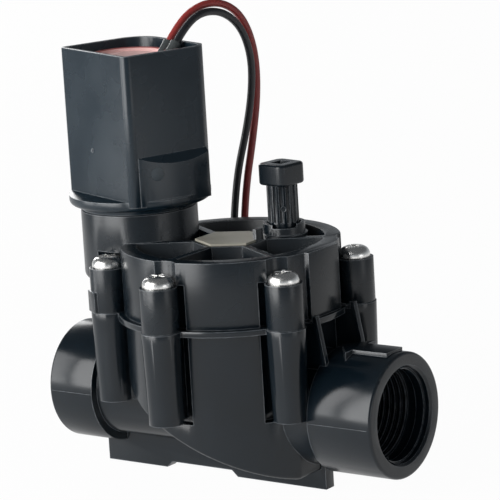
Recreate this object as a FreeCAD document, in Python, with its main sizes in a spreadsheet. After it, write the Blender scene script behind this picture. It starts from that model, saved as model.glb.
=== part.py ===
import FreeCAD, Part

import math
import operator
import os
from types import SimpleNamespace

import PartDesign
import Sketcher

# Plastic in-line solenoid valve: female threaded ports on a bowl-shaped body,
# a screwed-down bonnet with the diaphragm under it, a manual bleed screw, and a
# solenoid with two lead wires on the bonnet's neck.
# Frame: origin on the bonnet axis at the foot's underside, +X along the pipe
# towards the inlet, +Y to the lead side, +Z up. Lengths are in millimetres.

SIZES = {
    # ports and pipe line
    "port_height": 23.7,
    "half_length": 55.5,
    "inlet_radius": 17.6,
    "outlet_radius": 17.1,
    "inlet_barrel": 20.5,
    "outlet_barrel": 15.5,
    "collar_radius": 16.2,
    "duct_radius": 14.7,
    "thread_radius": 13.3,
    "thread_depth": 18.0,
    "mouth_chamfer": 0.7,
    "mouth_edge": 0.9,
    "waterway_radius": 10.2,
    # bowl, flange and foot
    "body_top": 50.0,
    "bowl_radius": 30.6,
    "bowl_end": 28.2,
    "bowl_floor": 18.3,
    "floor_slope": 0.48,
    "floor_wall": 3.0,
    "bowl_corner": 3.0,
    "bowl_edge": 1.2,
    "chamber_radius": 25.2,
    "flange_radius": 32.6,
    "flange_thickness": 1.6,
    "seat_height": 44.0,
    "seat_wall": 2.6,
    "foot_thickness": 3.8,
    "foot_back": 47.2,
    "foot_front": 29.4,
    "foot_arch": 1.8,
    "arch_back": 24.0,
    "arch_front": 3.0,
    "arch_slope": 2.0,
    "arrow_top": 41.9,
    "arrow_width": 8.0,
    "arrow_barb": 7.6,
    "arrow_back": 53.0,
    "arrow_head": 42.0,
    "arrow_tip": 36.0,
    "fin_offset": 9.3,
    "fin_thickness": 1.5,
    "fin_root": 33.4,
    "fin_rise": 1.9,
    "fin_top_reach": 34.7,
    "fin_foot_reach": 37.5,
    "fin_drop": 13.0,
    # screw lugs
    "side_screw_x": 29.85,
    "inlet_screw_y": 17.4,
    "outlet_screw_y": 18.2,
    "middle_screw_y": 34.2,
    "lug_radius": 5.25,
    "boss_radius": 5.5,
    "lug_foot_radius": 4.9,
    "lug_foot_height": 24.2,
    "lug_top": 62.55,
    "lug_web": 4.0,
    "pocket_width": 11.6,
    "pocket_bottom": 23.2,
    "body_pocket_radius": 27.2,
    "bonnet_pocket_radius": 28.6,
    "tab_length": 5.5,
    "tab_width": 5.2,
    "tab_height": 5.9,
    "tab_angle": 237.0,
    "screw_radius": 2.1,
    "screw_length": 26.0,
    "screw_point": 2.5,
    "screw_head_radius": 4.4,
    "screw_head_height": 3.1,
    "screw_dome": 2.5,
    "recess_length": 4.6,
    "recess_width": 0.9,
    "recess_depth": 1.3,
    "driver_radius": 5.0,
    "head_gap": 0.5,
    "thread_clearance": 0.05,
    # bonnet
    "seam": 0.05,
    "bonnet_top": 68.7,
    "bonnet_radius": 30.9,
    "ring_width": 4.5,
    "bonnet_chamber": 24.6,
    "ceiling_height": 56.5,
    "ceiling_thickness": 2.0,
    "rib_width": 2.1,
    "hub_radius": 11.0,
    "spring_bore": 8.0,
    "hub_roof": 2.0,
    "panel_x": 31.4,
    "panel_half_width": 7.2,
    "plate_radius": 9.3,
    "plate_reach": 8.8,
    "plate_thickness": 0.6,
    "web_x": 7.9,
    "web_thickness": 1.0,
    "web_length": 3.4,
    "web_rise": 3.4,
    # neck
    "neck_x": 31.5,
    "neck_radius": 16.65,
    "neck_bottom": 56.6,
    "neck_edge": 2.0,
    "neck_top": 76.5,
    "neck_bore": 10.6,
    "neck_floor": 63.2,
    "block_half_width": 8.0,
    "block_back": 44.5,
    "pilot_radius": 1.2,
    "pilot_boss": 3.2,
    "pilot_seat_radius": 3.4,
    "pilot_seat_height": 2.8,
    # bleed screw
    "bleed_x": 8.4,
    "bleed_y": 14.5,
    "cup_radius": 5.95,
    "cup_mouth": 4.9,
    "cup_base": 6.6,
    "cup_base_top": 68.6,
    "cup_top": 71.6,
    "cup_step": 68.6,
    "cup_slot": 6.8,
    "cup_slot_depth": 1.0,
    "cup_slot_angle": -54.0,
    "bleed_shank": 3.2,
    "bleed_clearance": 0.3,
    "bleed_floor": 60.2,
    "bleed_point": 1.4,
    "stem_radius": 4.4,
    "flute_count": 14,
    "flute_radius": 0.55,
    "flute_margin": 3.0,
    "head_bottom": 82.5,
    "head_height": 6.1,
    "head_side": 10.2,
    "head_corner": 2.3,
    "head_edge": 0.8,
    "head_socket": 4.2,
    "head_socket_depth": 2.4,
    "head_angle": -9.0,
    # diaphragm set
    "rubber_thickness": 1.8,
    "rim_thickness": 1.85,
    "rim_radius": 28.8,
    "rubber_clearance": 0.3,
    "fold_start": 19.3,
    "fold_end": 24.3,
    "plate_edge": 18.5,
    "plate_web": 1.7,
    "spring_boss": 5.2,
    "spring_boss_top": 54.0,
    "seal_radius": 13.6,
    "seal_thickness": 2.0,
    "seal_gap": 0.1,
    "stem_bolt": 2.5,
    "stem_head": 4.6,
    "stem_head_height": 1.6,
    "fit_clearance": 0.05,
    "spring_coil_radius": 6.6,
    "spring_wire": 0.5,
    "filter_offset": 15.8,
    "filter_radius": 1.3,
    "filter_flange": 2.0,
    # solenoid
    "solenoid_angle": -19.5,
    "case_x": 17.0,
    "case_front": 14.0,
    "case_back": 14.6,
    "case_shift_x": 0.62,
    "case_shift_y": 0.91,
    "case_wall": 1.3,
    "case_bottom": 78.1,
    "case_top": 122.2,
    "case_floor": 83.0,
    "near_corner": 2.2,
    "left_corner": 2.0,
    "far_corner": 5.1,
    "back_corner": 8.0,
    "base_radius": 20.25,
    "base_shift_x": 0.3,
    "base_shift_y": 0.46,
    "base_height": 2.9,
    "base_edge": 1.6,
    "cheek_bulge": 2.2,
    "cheek_radius": 42.0,
    "cheek_middle": 1.5,
    "cheek_start": 11.4,
    "cheek_end": 11.6,
    "cheek_root": 2.5,
    "cheek_top": 90.9,
    "cheek_slope": 2.6,
    "collar_gap": 0.2,
    "collar_radius_top": 16.4,
    "nose_clearance": 0.35,
    "nose_bottom": 66.4,
    "seal_groove_height": 71.0,
    "seal_groove_width": 1.9,
    "solenoid_ring_wire": 0.85,
    "tube_radius": 5.6,
    "tube_wall": 0.9,
    "tube_top": 116.2,
    "slide_clearance": 0.06,
    "bobbin_wall": 1.2,
    "bobbin_flange": 11.4,
    "bobbin_flange_thickness": 1.5,
    "winding_radius": 10.9,
    "frame_bottom": 83.0,
    "frame_height": 32.0,
    "frame_thickness": 1.6,
    "frame_half_width": 9.0,
    "frame_reach": 14.6,
    "potting_thickness": 1.9,
    "potting_top": 118.9,
    "cap_radius": 11.2,
    "cap_x": -0.8,
    "cap_y": 0.2,
    "cap_height": 1.2,
    "cap_rim": 1.2,
    "cap_recess": 0.8,
    "plunger_bottom": 68.1,
    "plunger_top": 101.4,
    "plunger_travel": 1.6,
    "plunger_seal_radius": 2.5,
    "plunger_seal_height": 2.0,
    "plunger_bore": 2.5,
    "plunger_bore_depth": 8.0,
    "plunger_spring_radius": 1.9,
    "plunger_spring_wire": 0.3,
    "pole_rim": 1.0,
    # leads
    "lead_radius": 1.1,
    "sleeve_radius": 1.65,
    "coil_x": -37.5,
    "coil_y": 58.0,
    "coil_side_clearance": 0.1,
    "red_coil_radius": 13.2,
    "red_coil_height": 6.8,
    "black_coil_radius": 10.5,
    "black_coil_height": 8.5,
    "tip_radius": 0.5,
    "tip_length": 8.0,
}

OPERATIONS = {"+": operator.add, "-": operator.sub, "*": operator.mul, "/": operator.truediv}
QUARTER_TURN = 90
FULL_TURN = 360
RUNS_PER_TURN = 12


class Size:
    """A number together with the spreadsheet formula that gives it."""

    def __init__(self, value, formula):
        self.value = value
        self.formula = formula

    def __add__(self, other):
        return combined(self, "+", other)

    def __radd__(self, other):
        return combined(other, "+", self)

    def __sub__(self, other):
        return combined(self, "-", other)

    def __rsub__(self, other):
        return combined(other, "-", self)

    def __mul__(self, other):
        return combined(self, "*", other)

    def __rmul__(self, other):
        return combined(other, "*", self)

    def __truediv__(self, other):
        return combined(self, "/", other)

    def __neg__(self):
        return combined(-1, "*", self)


def as_size(number):
    """The Size of a plain number or of a Size itself."""
    return number if isinstance(number, Size) else Size(number, f"({number})")


def combined(left, symbol, right):
    """The Size that an arithmetic operation on two Sizes or numbers gives."""
    left, right = as_size(left), as_size(right)
    value = OPERATIONS[symbol](left.value, right.value)
    return Size(value, f"({left.formula} {symbol} {right.formula})")


def cosine(angle):
    """The cosine of an angle in degrees."""
    angle = as_size(angle)
    return Size(math.cos(math.radians(angle.value)), f"cos({angle.formula})")


def sine(angle):
    """The sine of an angle in degrees."""
    angle = as_size(angle)
    return Size(math.sin(math.radians(angle.value)), f"sin({angle.formula})")


def direction(x, y):
    """The angle in degrees of a point seen from the origin."""
    x, y = as_size(x), as_size(y)
    return Size(math.degrees(math.atan2(y.value, x.value)), f"atan2({y.formula}; {x.formula})")


def distance(x, y):
    """The distance of a point from the origin."""
    x, y = as_size(x), as_size(y)
    return Size(math.hypot(x.value, y.value), f"sqrt({x.formula} ^ 2 + {y.formula} ^ 2)")


def sheet_of_sizes(document):
    """Write SIZES into a spreadsheet and return them as named Sizes."""
    sheet = document.addObject("Spreadsheet::Sheet", "Sizes")
    sizes = SimpleNamespace()
    for row, (name, number) in enumerate(SIZES.items(), start=1):
        sheet.set(f"A{row}", name)
        sheet.set(f"B{row}", str(number))
        sheet.setAlias(f"B{row}", name)
        setattr(sizes, name, Size(number, f"Sizes.{name}"))
    return sizes


doc = FreeCAD.newDocument("solenoid_valve")
dim = sheet_of_sizes(doc)
doc.recompute()
nodes = []

AXIS_TURNS = {
    "X": FreeCAD.Rotation(FreeCAD.Vector(0, 1, 0), QUARTER_TURN),
    "Y": FreeCAD.Rotation(FreeCAD.Vector(1, 0, 0), -QUARTER_TURN),
    "Z": FreeCAD.Rotation(),
}


# ---------------------------------------------------------------- building blocks

def bind(feature, **sizes):
    """Tie properties of a feature to spreadsheet formulas."""
    for name, size in sizes.items():
        feature.setExpression(name, as_size(size).formula)
    return feature


def place(feature, x=0, y=0, z=0, rotation=None):
    """Place a feature: its position is tied to formulas, its rotation is fixed."""
    feature.Placement.Rotation = rotation or FreeCAD.Rotation()
    for direction, size in (("x", x), ("y", y), ("z", z)):
        feature.setExpression(f"Placement.Base.{direction}", as_size(size).formula)
    return feature


def turned_about_z(feature, angle, x=0, y=0, z=0):
    """Place a feature turned about the vertical by an angle in degrees."""
    place(feature, x, y, z, FreeCAD.Rotation(FreeCAD.Vector(0, 0, 1), as_size(angle).value))
    feature.setExpression("Placement.Rotation.Angle", as_size(angle).formula)
    return feature


def cylinder(name, radius, length, x=0, y=0, z=0, axis="Z"):
    """A cylinder that runs from the given point along a frame axis."""
    feature = bind(doc.addObject("Part::Cylinder", name), Radius=radius, Height=length)
    return place(feature, x, y, z, AXIS_TURNS[axis])


def cone(name, low_radius, high_radius, length, x=0, y=0, z=0, axis="Z"):
    """A cone frustum that runs from the given point along a frame axis."""
    feature = doc.addObject("Part::Cone", name)
    bind(feature, Radius1=low_radius, Radius2=high_radius, Height=length)
    return place(feature, x, y, z, AXIS_TURNS[axis])


def box(name, low, high):
    """A box between two corners."""
    feature = doc.addObject("Part::Box", name)
    length, width, height = (as_size(top) - bottom for bottom, top in zip(low, high))
    bind(feature, Length=length, Width=width, Height=height)
    return place(feature, *low)


def bar(name, length, width, low, high, angle, x=0, y=0, start=0):
    """A box that starts at a point and runs outwards at an angle about the vertical."""
    feature = doc.addObject("Part::Box", name)
    bind(feature, Length=length, Width=width, Height=as_size(high) - low)
    half = as_size(width) / 2
    corner_x = x + cosine(angle) * start + sine(angle) * half
    corner_y = y + sine(angle) * start - cosine(angle) * half
    return turned_about_z(feature, angle, corner_x, corner_y, low)


def fuse(name, *shapes):
    """The union of several features."""
    feature = doc.addObject("Part::MultiFuse", name)
    feature.Shapes = list(shapes)
    return feature


def cut(name, base, *tools):
    """A feature with others cut out of it."""
    feature = doc.addObject("Part::Cut", name)
    feature.Base = base
    feature.Tool = tools[0] if len(tools) == 1 else fuse(f"{name}_tools", *tools)
    return feature


def common(name, *shapes):
    """What several features share."""
    feature = doc.addObject("Part::MultiCommon", name)
    feature.Shapes = list(shapes)
    return feature


def rounded(name, base, radius, picks):
    """A feature with the picked edges filleted."""
    doc.recompute()
    edges = [(number, as_size(radius).value, as_size(radius).value)
             for number, edge in enumerate(base.Shape.Edges, start=1) if picks(edge)]
    feature = doc.addObject("Part::Fillet", name)
    feature.Base = base
    feature.Edges = edges
    return feature


def at_height(size):
    """A pick of the edges that lie wholly at one height."""
    height = as_size(size).value
    return lambda edge: abs(edge.BoundBox.ZMin - height) + abs(edge.BoundBox.ZMax - height) < 0.001


def across_pipe_at(size):
    """A pick of the edges that lie wholly in one plane across the pipe line."""
    place_x = as_size(size).value
    return lambda edge: abs(edge.BoundBox.XMin - place_x) + abs(edge.BoundBox.XMax - place_x) < 0.001


def sketch_on(body, role, outline):
    """A closed polygon sketch on an origin plane of the body, each corner tied to its formulas."""
    sketch = body.newObject("Sketcher::SketchObject", f"{body.Name}_outline")
    plane = next(item for item in body.Origin.OriginFeatures if item.Role == role)
    sketch.AttachmentSupport = [(plane, "")]
    sketch.MapMode = "FlatFace"
    corners = [(as_size(across), as_size(up)) for across, up in outline]
    points = [FreeCAD.Vector(across.value, up.value, 0) for across, up in corners]
    for start, end in zip(points, points[1:] + points[:1]):
        sketch.addGeometry(Part.LineSegment(start, end), False)
    for number, (across, up) in enumerate(corners):
        following = (number + 1) % len(corners)
        sketch.addConstraint(Sketcher.Constraint("Coincident", number, 2, following, 1))
        for kind, size in (("DistanceX", across), ("DistanceY", up)):
            index = sketch.addConstraint(Sketcher.Constraint(kind, -1, 1, number, 1, size.value))
            sketch.setExpression(f"Constraints[{index}]", size.formula)
    return sketch


def turned(name, outline):
    """A body revolved about the vertical from an outline of (radius, height) corners."""
    body = doc.addObject("PartDesign::Body", name)
    sketch = sketch_on(body, "XZ_Plane", outline)
    revolution = body.newObject("PartDesign::Revolution", f"{name}_turn")
    revolution.Profile = sketch
    revolution.ReferenceAxis = (sketch, ["V_Axis"])
    revolution.Angle = FULL_TURN
    return body


def padded(name, role, outline, length, midplane=False):
    """A body extruded from an outline on one of its origin planes."""
    body = doc.addObject("PartDesign::Body", name)
    sketch = sketch_on(body, role, outline)
    pad = body.newObject("PartDesign::Pad", f"{name}_pad")
    pad.Profile = sketch
    pad.SideType = "Symmetric" if midplane else "One side"
    bind(pad, Length=length)
    return body


def fillet_in(body, radius, picks):
    """Fillet the picked edges of a body's tip, with the radius tied to its formula."""
    doc.recompute()
    base = body.Tip
    names = [f"Edge{number}" for number, edge in enumerate(base.Shape.Edges, start=1) if picks(edge)]
    fillet = body.newObject("PartDesign::Fillet", f"{body.Name}_fillet")
    fillet.Base = (base, names)
    bind(fillet, Radius=radius)
    return body


def vertical_edge_at(x, y):
    """A pick of the vertical edges over one point."""
    x, y = as_size(x).value, as_size(y).value

    def picks(edge):
        bounds = edge.BoundBox
        return abs(bounds.XMin - x) + abs(bounds.XMax - x) + abs(bounds.YMin - y) + abs(bounds.YMax - y) < 0.01

    return picks


def regular_outline(corner_radius, sides, first_angle):
    """The corners of a regular polygon about the origin."""
    step = FULL_TURN / sides
    angles = [first_angle + step * number for number in range(sides)]
    return [(corner_radius * cosine(angle), corner_radius * sine(angle)) for angle in angles]


def spring(name, coil_radius, wire_radius, low, high, turns):
    """A compression spring between two heights, its helix followed in short straight runs."""
    radius, wire = as_size(coil_radius).value, as_size(wire_radius).value
    bottom, top = as_size(low).value + wire, as_size(high).value - wire
    runs = turns * RUNS_PER_TURN
    points = []
    for number in range(runs + 1):
        angle = math.radians(FULL_TURN * number / RUNS_PER_TURN)
        height = bottom + (top - bottom) * number / runs
        points.append(FreeCAD.Vector(radius * math.cos(angle), radius * math.sin(angle), height))
    path = doc.addObject("Part::Feature", f"{name}_line")
    path.Shape = Part.makePolygon(points)
    section = bind(doc.addObject("Part::Circle", f"{name}_section"), Radius=wire_radius)
    facing = FreeCAD.Rotation(FreeCAD.Vector(0, 0, 1), points[1] - points[0])
    section.Placement = FreeCAD.Placement(points[0], facing)
    coil = doc.addObject("Part::Sweep", name)
    coil.Sections = [section]
    coil.Spine = (path, [])
    coil.Solid = True
    coil.Frenet = False
    coil.Transition = "Right corner"
    return coil


def node(feature, name):
    """Keep a finished feature as the sub-part of that name."""
    feature.Label = name
    nodes.append(feature)
    return feature


# ---------------------------------------------------------------- shared places

BEYOND = 1
THROUGH = 60

bonnet_base = dim.body_top + dim.seam
neck_x = -dim.neck_x
seat_radius = dim.waterway_radius + dim.seat_wall
seal_bottom = dim.seat_height + dim.seal_gap
rubber_bottom = seal_bottom + dim.seal_thickness
rubber_top = rubber_bottom + dim.rubber_thickness
plate_top = rubber_top + dim.plate_web
rim_bottom = dim.body_top - dim.rim_thickness
bolt_hole = dim.stem_bolt + dim.fit_clearance
hub_ceiling = dim.bonnet_top - dim.hub_roof
pocket_floor = dim.ceiling_height + dim.ceiling_thickness
tube_hole = dim.tube_radius + dim.fit_clearance
tube_bore = dim.tube_radius - dim.tube_wall
pole_bottom = dim.plunger_top + dim.plunger_travel

SCREWS = [
    (-dim.side_screw_x, -dim.outlet_screw_y),
    (0, -dim.middle_screw_y),
    (dim.side_screw_x, -dim.inlet_screw_y),
    (dim.side_screw_x, dim.inlet_screw_y),
    (0, dim.middle_screw_y),
    (-dim.side_screw_x, dim.outlet_screw_y),
]


def at_screws(name, make):
    """One feature for each screw axis, made from its name, place and angle about the bonnet axis."""
    features = []
    for number, (x, y) in enumerate(SCREWS, start=1):
        features.append(make(f"{name}_{number}", as_size(x), as_size(y), direction(x, y)))
    return features


def lug_pockets(name, inner_radius, low, high):
    """The slots beside the lugs, cut into the wall down to a radius."""
    return at_screws(name, lambda label, x, y, angle: bar(
        label, THROUGH, dim.pocket_width, low, high, angle, start=inner_radius))


def lug_webs(name, low, high):
    """The ribs that tie the lugs to the wall behind them."""
    start = dim.chamber_radius + dim.floor_wall / 2
    return at_screws(name, lambda label, x, y, angle: bar(
        label, distance(x, y) - start, dim.lug_web, low, high, angle, start=start))


def screw_holes(name, low, high):
    """The holes for the screws between two heights."""
    return at_screws(name, lambda label, x, y, angle: cylinder(
        label, dim.screw_radius + dim.thread_clearance, as_size(high) - low, x, y, low))


# ---------------------------------------------------------------- valve body

def above_bowl_floor(name, lift):
    """The space above the bowl's sloping floor, raised by a lift, up to the body's top."""
    reach = dim.bowl_radius + BEYOND
    low = dim.bowl_floor + lift
    outline = [
        (-reach, low + reach * dim.floor_slope),
        (reach, low - reach * dim.floor_slope),
        (reach, dim.body_top),
        (-reach, dim.body_top),
    ]
    return padded(name, "XZ_Plane", outline, 2 * reach, midplane=True)


def bowl_shell():
    """The bowl with its flat end, its flange and the slots beside the screw bosses."""
    reach = dim.bowl_radius + BEYOND
    round_bowl = cylinder("bowl_round", dim.bowl_radius, dim.body_top)
    flat_end = box("bowl_flat_end", (-reach, -reach, 0), (dim.bowl_end, reach, dim.body_top))
    bowl = common("bowl_block", round_bowl, flat_end, above_bowl_floor("bowl_slope", 0))
    end_half_width = math.sqrt(dim.bowl_radius.value ** 2 - dim.bowl_end.value ** 2)
    corners = [vertical_edge_at(dim.bowl_end, side * end_half_width) for side in (-1, 1)]
    bowl = rounded("bowl_corners", bowl, dim.bowl_corner, lambda edge: any(pick(edge) for pick in corners))
    bowl = rounded("bowl_edges", bowl, dim.bowl_edge, lies_on_bowl_floor)
    flange_bottom = dim.body_top - dim.flange_thickness
    pockets = lug_pockets("bowl_pocket", dim.body_pocket_radius, dim.pocket_bottom, flange_bottom)
    flange = cylinder("flange", dim.flange_radius, dim.flange_thickness, z=flange_bottom)
    return [cut("bowl", bowl, *pockets), flange]


def lies_on_bowl_floor(edge):
    """Whether an edge lies in the bowl's sloping underside."""
    return all(abs(point.z - dim.bowl_floor.value + dim.floor_slope.value * point.x) < 0.001
               for point in edge.discretize(5))


def screw_bosses():
    """The bosses that the screws bite into, with their webs."""
    height = dim.body_top - dim.lug_foot_height
    bosses = at_screws("boss", lambda label, x, y, angle: cone(
        label, dim.lug_foot_radius, dim.boss_radius, height, x, y, dim.lug_foot_height))
    return bosses + lug_webs("boss_web", dim.lug_foot_height, dim.body_top)


def port_barrels():
    """The two port barrels, the collar at the inlet and the duct at the outlet."""
    axis = {"z": dim.port_height, "axis": "X"}
    inlet_start = dim.half_length - dim.inlet_barrel
    collar_start = dim.bowl_end - dim.bowl_corner - BEYOND
    inlet = cylinder("inlet_block", dim.inlet_radius, dim.inlet_barrel, x=inlet_start, **axis)
    outlet = cylinder("outlet_block", dim.outlet_radius, dim.outlet_barrel, x=-dim.half_length, **axis)
    return [
        rounded("inlet_barrel", inlet, dim.mouth_edge, across_pipe_at(dim.half_length)),
        cylinder("inlet_collar", dim.collar_radius, inlet_start - collar_start, x=collar_start, **axis),
        rounded("outlet_barrel", outlet, dim.mouth_edge, across_pipe_at(-dim.half_length)),
    ]


def foot_web():
    """The upright web that the valve stands on, arched between its two feet."""
    outline = [
        (-dim.foot_back, dim.port_height),
        (-dim.foot_back, 0),
        (-dim.arch_back - dim.arch_slope, 0),
        (-dim.arch_back, dim.foot_arch),
        (-dim.arch_front, dim.foot_arch),
        (-dim.arch_front + dim.arch_slope, 0),
        (dim.foot_front, 0),
        (dim.foot_front, dim.port_height),
    ]
    return padded("foot_web", "XZ_Plane", outline, dim.foot_thickness, midplane=True)


def flow_arrow():
    """The raised arrow on the inlet barrel that points the way the water goes."""
    half = dim.arrow_width / 2
    outline = [
        (dim.arrow_back, -half),
        (dim.arrow_back, half),
        (dim.arrow_head, half),
        (dim.arrow_head, dim.arrow_barb),
        (dim.arrow_tip, 0),
        (dim.arrow_head, -dim.arrow_barb),
        (dim.arrow_head, -half),
    ]
    arrow = padded("flow_arrow", "XY_Plane", outline, dim.arrow_top - dim.port_height)
    return place(arrow, z=dim.port_height)


def inlet_fins():
    """The two gussets between the flange and the inlet collar, each with a lip in front of the bonnet."""
    outline = [
        (dim.bowl_end - dim.bowl_corner, dim.body_top),
        (dim.fin_root, dim.body_top),
        (dim.fin_root, dim.body_top + dim.fin_rise),
        (dim.fin_top_reach, dim.body_top + dim.fin_rise),
        (dim.fin_foot_reach, dim.body_top - dim.fin_drop),
        (dim.bowl_end - dim.bowl_corner, dim.body_top - dim.fin_drop),
    ]
    fins = []
    for side, name in ((-1, "near_fin"), (1, "far_fin")):
        fin = padded(name, "XZ_Plane", outline, dim.fin_thickness, midplane=True)
        fins.append(place(fin, y=side * dim.fin_offset))
    return fins


def outlet_elbow():
    """The duct from the seat in the middle of the bowl down and out to the outlet."""
    duct_length = dim.half_length - dim.outlet_barrel / 2
    sphere = bind(doc.addObject("Part::Sphere", "elbow"), Radius=dim.duct_radius)
    return [
        cylinder("outlet_duct", dim.duct_radius, duct_length, x=-duct_length, z=dim.port_height, axis="X"),
        place(sphere, z=dim.port_height),
        cylinder("seat_tube", seat_radius, dim.seat_height - dim.port_height, z=dim.port_height),
    ]


def waterways():
    """Everything that is bored out of the body: both ports, the elbow, the pilot hole and the screw holes."""
    axis = {"z": dim.port_height, "axis": "X"}
    inlet_start = dim.chamber_radius - dim.floor_wall
    thread_start = dim.half_length - dim.thread_depth
    mouth = dim.thread_radius + dim.mouth_chamfer
    elbow = bind(doc.addObject("Part::Sphere", "elbow_bore"), Radius=dim.waterway_radius)
    screw_bottom = dim.lug_top - dim.screw_length - BEYOND
    return [
        cylinder("inlet_bore", dim.waterway_radius, dim.half_length - inlet_start, x=inlet_start, **axis),
        cylinder("inlet_thread", dim.thread_radius, dim.thread_depth, x=thread_start, **axis),
        cone("inlet_mouth", dim.thread_radius, mouth, dim.mouth_chamfer, x=dim.half_length - dim.mouth_chamfer,
             **axis),
        cylinder("outlet_bore", dim.waterway_radius, dim.half_length, x=-dim.half_length, **axis),
        cylinder("outlet_thread", dim.thread_radius, dim.thread_depth, x=-dim.half_length, **axis),
        cone("outlet_mouth", mouth, dim.thread_radius, dim.mouth_chamfer, x=-dim.half_length, **axis),
        place(elbow, z=dim.port_height),
        cylinder("seat_bore", dim.waterway_radius, THROUGH, z=dim.port_height),
        cylinder("pilot_drain", dim.pilot_radius, THROUGH, neck_x, 0, dim.port_height),
        cylinder("rim_recess", dim.rim_radius + dim.rubber_clearance, THROUGH, z=rim_bottom),
    ] + screw_holes("boss_hole", screw_bottom, dim.body_top + BEYOND)


def valve_body():
    """The moulded body with both ports."""
    pilot_boss = cylinder("pilot_boss", dim.pilot_boss, dim.body_top - dim.port_height,
                          neck_x, 0, dim.port_height)
    outside = fuse("body_outside", *bowl_shell(), *screw_bosses(), *port_barrels(), foot_web(), flow_arrow(),
                   *inlet_fins(), pilot_boss)
    chamber = common("inlet_chamber", cylinder("chamber_round", dim.chamber_radius, dim.body_top + BEYOND),
                     above_bowl_floor("chamber_slope", dim.floor_wall))
    hollow = cut("body_hollow", outside, chamber)
    ducted = fuse("body_ducted", hollow, *outlet_elbow())
    return node(cut("valve_body_shape", ducted, *waterways()), "valve_body")


# ---------------------------------------------------------------- bonnet

def bleed_cup():
    """The cup that the bleed screw goes into, stepped at its foot and slotted across its rim."""
    at = {"x": dim.bleed_x, "y": dim.bleed_y, "z": pocket_floor}
    wall = cylinder("cup_wall", dim.cup_radius, dim.cup_top - pocket_floor, **at)
    foot = cylinder("cup_foot", dim.cup_base, dim.cup_base_top - pocket_floor, **at)
    reach = dim.cup_radius + BEYOND
    slot_bottom = dim.cup_top - dim.cup_slot_depth
    slot = bar("cup_slot", reach, dim.cup_slot, slot_bottom, dim.cup_top + BEYOND, dim.cup_slot_angle,
               dim.bleed_x, dim.bleed_y)
    return fuse("cup", cut("slotted_wall", wall, slot), foot)


def solenoid_neck():
    """The neck that the solenoid screws into, with the block that carries it."""
    neck = cylinder("neck_round", dim.neck_radius, dim.neck_top - dim.neck_bottom, neck_x, 0, dim.neck_bottom)
    neck = rounded("neck", neck, dim.neck_edge, at_height(dim.neck_bottom))
    block = box("neck_block", (-dim.block_back, -dim.block_half_width, bonnet_base),
                (-dim.bonnet_chamber - BEYOND, dim.block_half_width, dim.neck_bottom + dim.neck_edge + BEYOND))
    return [neck, block]


def bonnet_pockets():
    """The open space inside the bonnet's ring, around the hub, the ribs, the cup and the neck."""
    ring_bore = dim.bonnet_radius - dim.ring_width
    space = cylinder("ring_bore", ring_bore, THROUGH, z=pocket_floor)
    hub = padded("hub", "XY_Plane", regular_outline(dim.hub_radius, 6, 30), dim.bonnet_top)
    ribs = [bar(f"rib_{angle}", 2 * dim.bonnet_radius, dim.rib_width, 0, dim.bonnet_top, angle,
                start=-dim.bonnet_radius) for angle in (30, 90, 150)]
    web = box("bleed_web", (dim.web_x, 0, 0), (dim.web_x + dim.web_thickness, dim.bleed_y, dim.bonnet_top))
    cup_space = cylinder("cup_keep", dim.cup_radius, THROUGH, dim.bleed_x, dim.bleed_y)
    neck_space = cylinder("neck_keep", dim.neck_radius, dim.bonnet_top + THROUGH, neck_x, 0)
    return cut("bonnet_pockets", space, hub, *ribs, web, cup_space, neck_space)


def bonnet_bores():
    """What is bored out of the bonnet: its chamber, the hub, the neck, the bleed way and the pilot ways."""
    pilot_inlet_x = -dim.bonnet_chamber + 1.5 * dim.pilot_radius
    return [
        cylinder("bonnet_chamber", dim.bonnet_chamber, dim.ceiling_height, z=0),
        cylinder("spring_bore", dim.spring_bore, hub_ceiling),
        cylinder("neck_bore", dim.neck_bore, THROUGH, neck_x, 0, dim.neck_floor),
        cylinder("pilot_way", dim.pilot_radius, dim.neck_floor + BEYOND, neck_x, 0),
        cylinder("pilot_inlet", dim.pilot_radius, dim.neck_floor + BEYOND, pilot_inlet_x, 0),
        cylinder("cup_mouth", dim.cup_mouth, THROUGH, dim.bleed_x, dim.bleed_y, dim.cup_step),
        cylinder("bleed_bore", dim.bleed_shank + dim.bleed_clearance, THROUGH, dim.bleed_x, dim.bleed_y,
                 dim.bleed_floor),
        cylinder("bleed_way", dim.pilot_radius, dim.bleed_floor + BEYOND, dim.bleed_x, dim.bleed_y),
    ]


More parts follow.
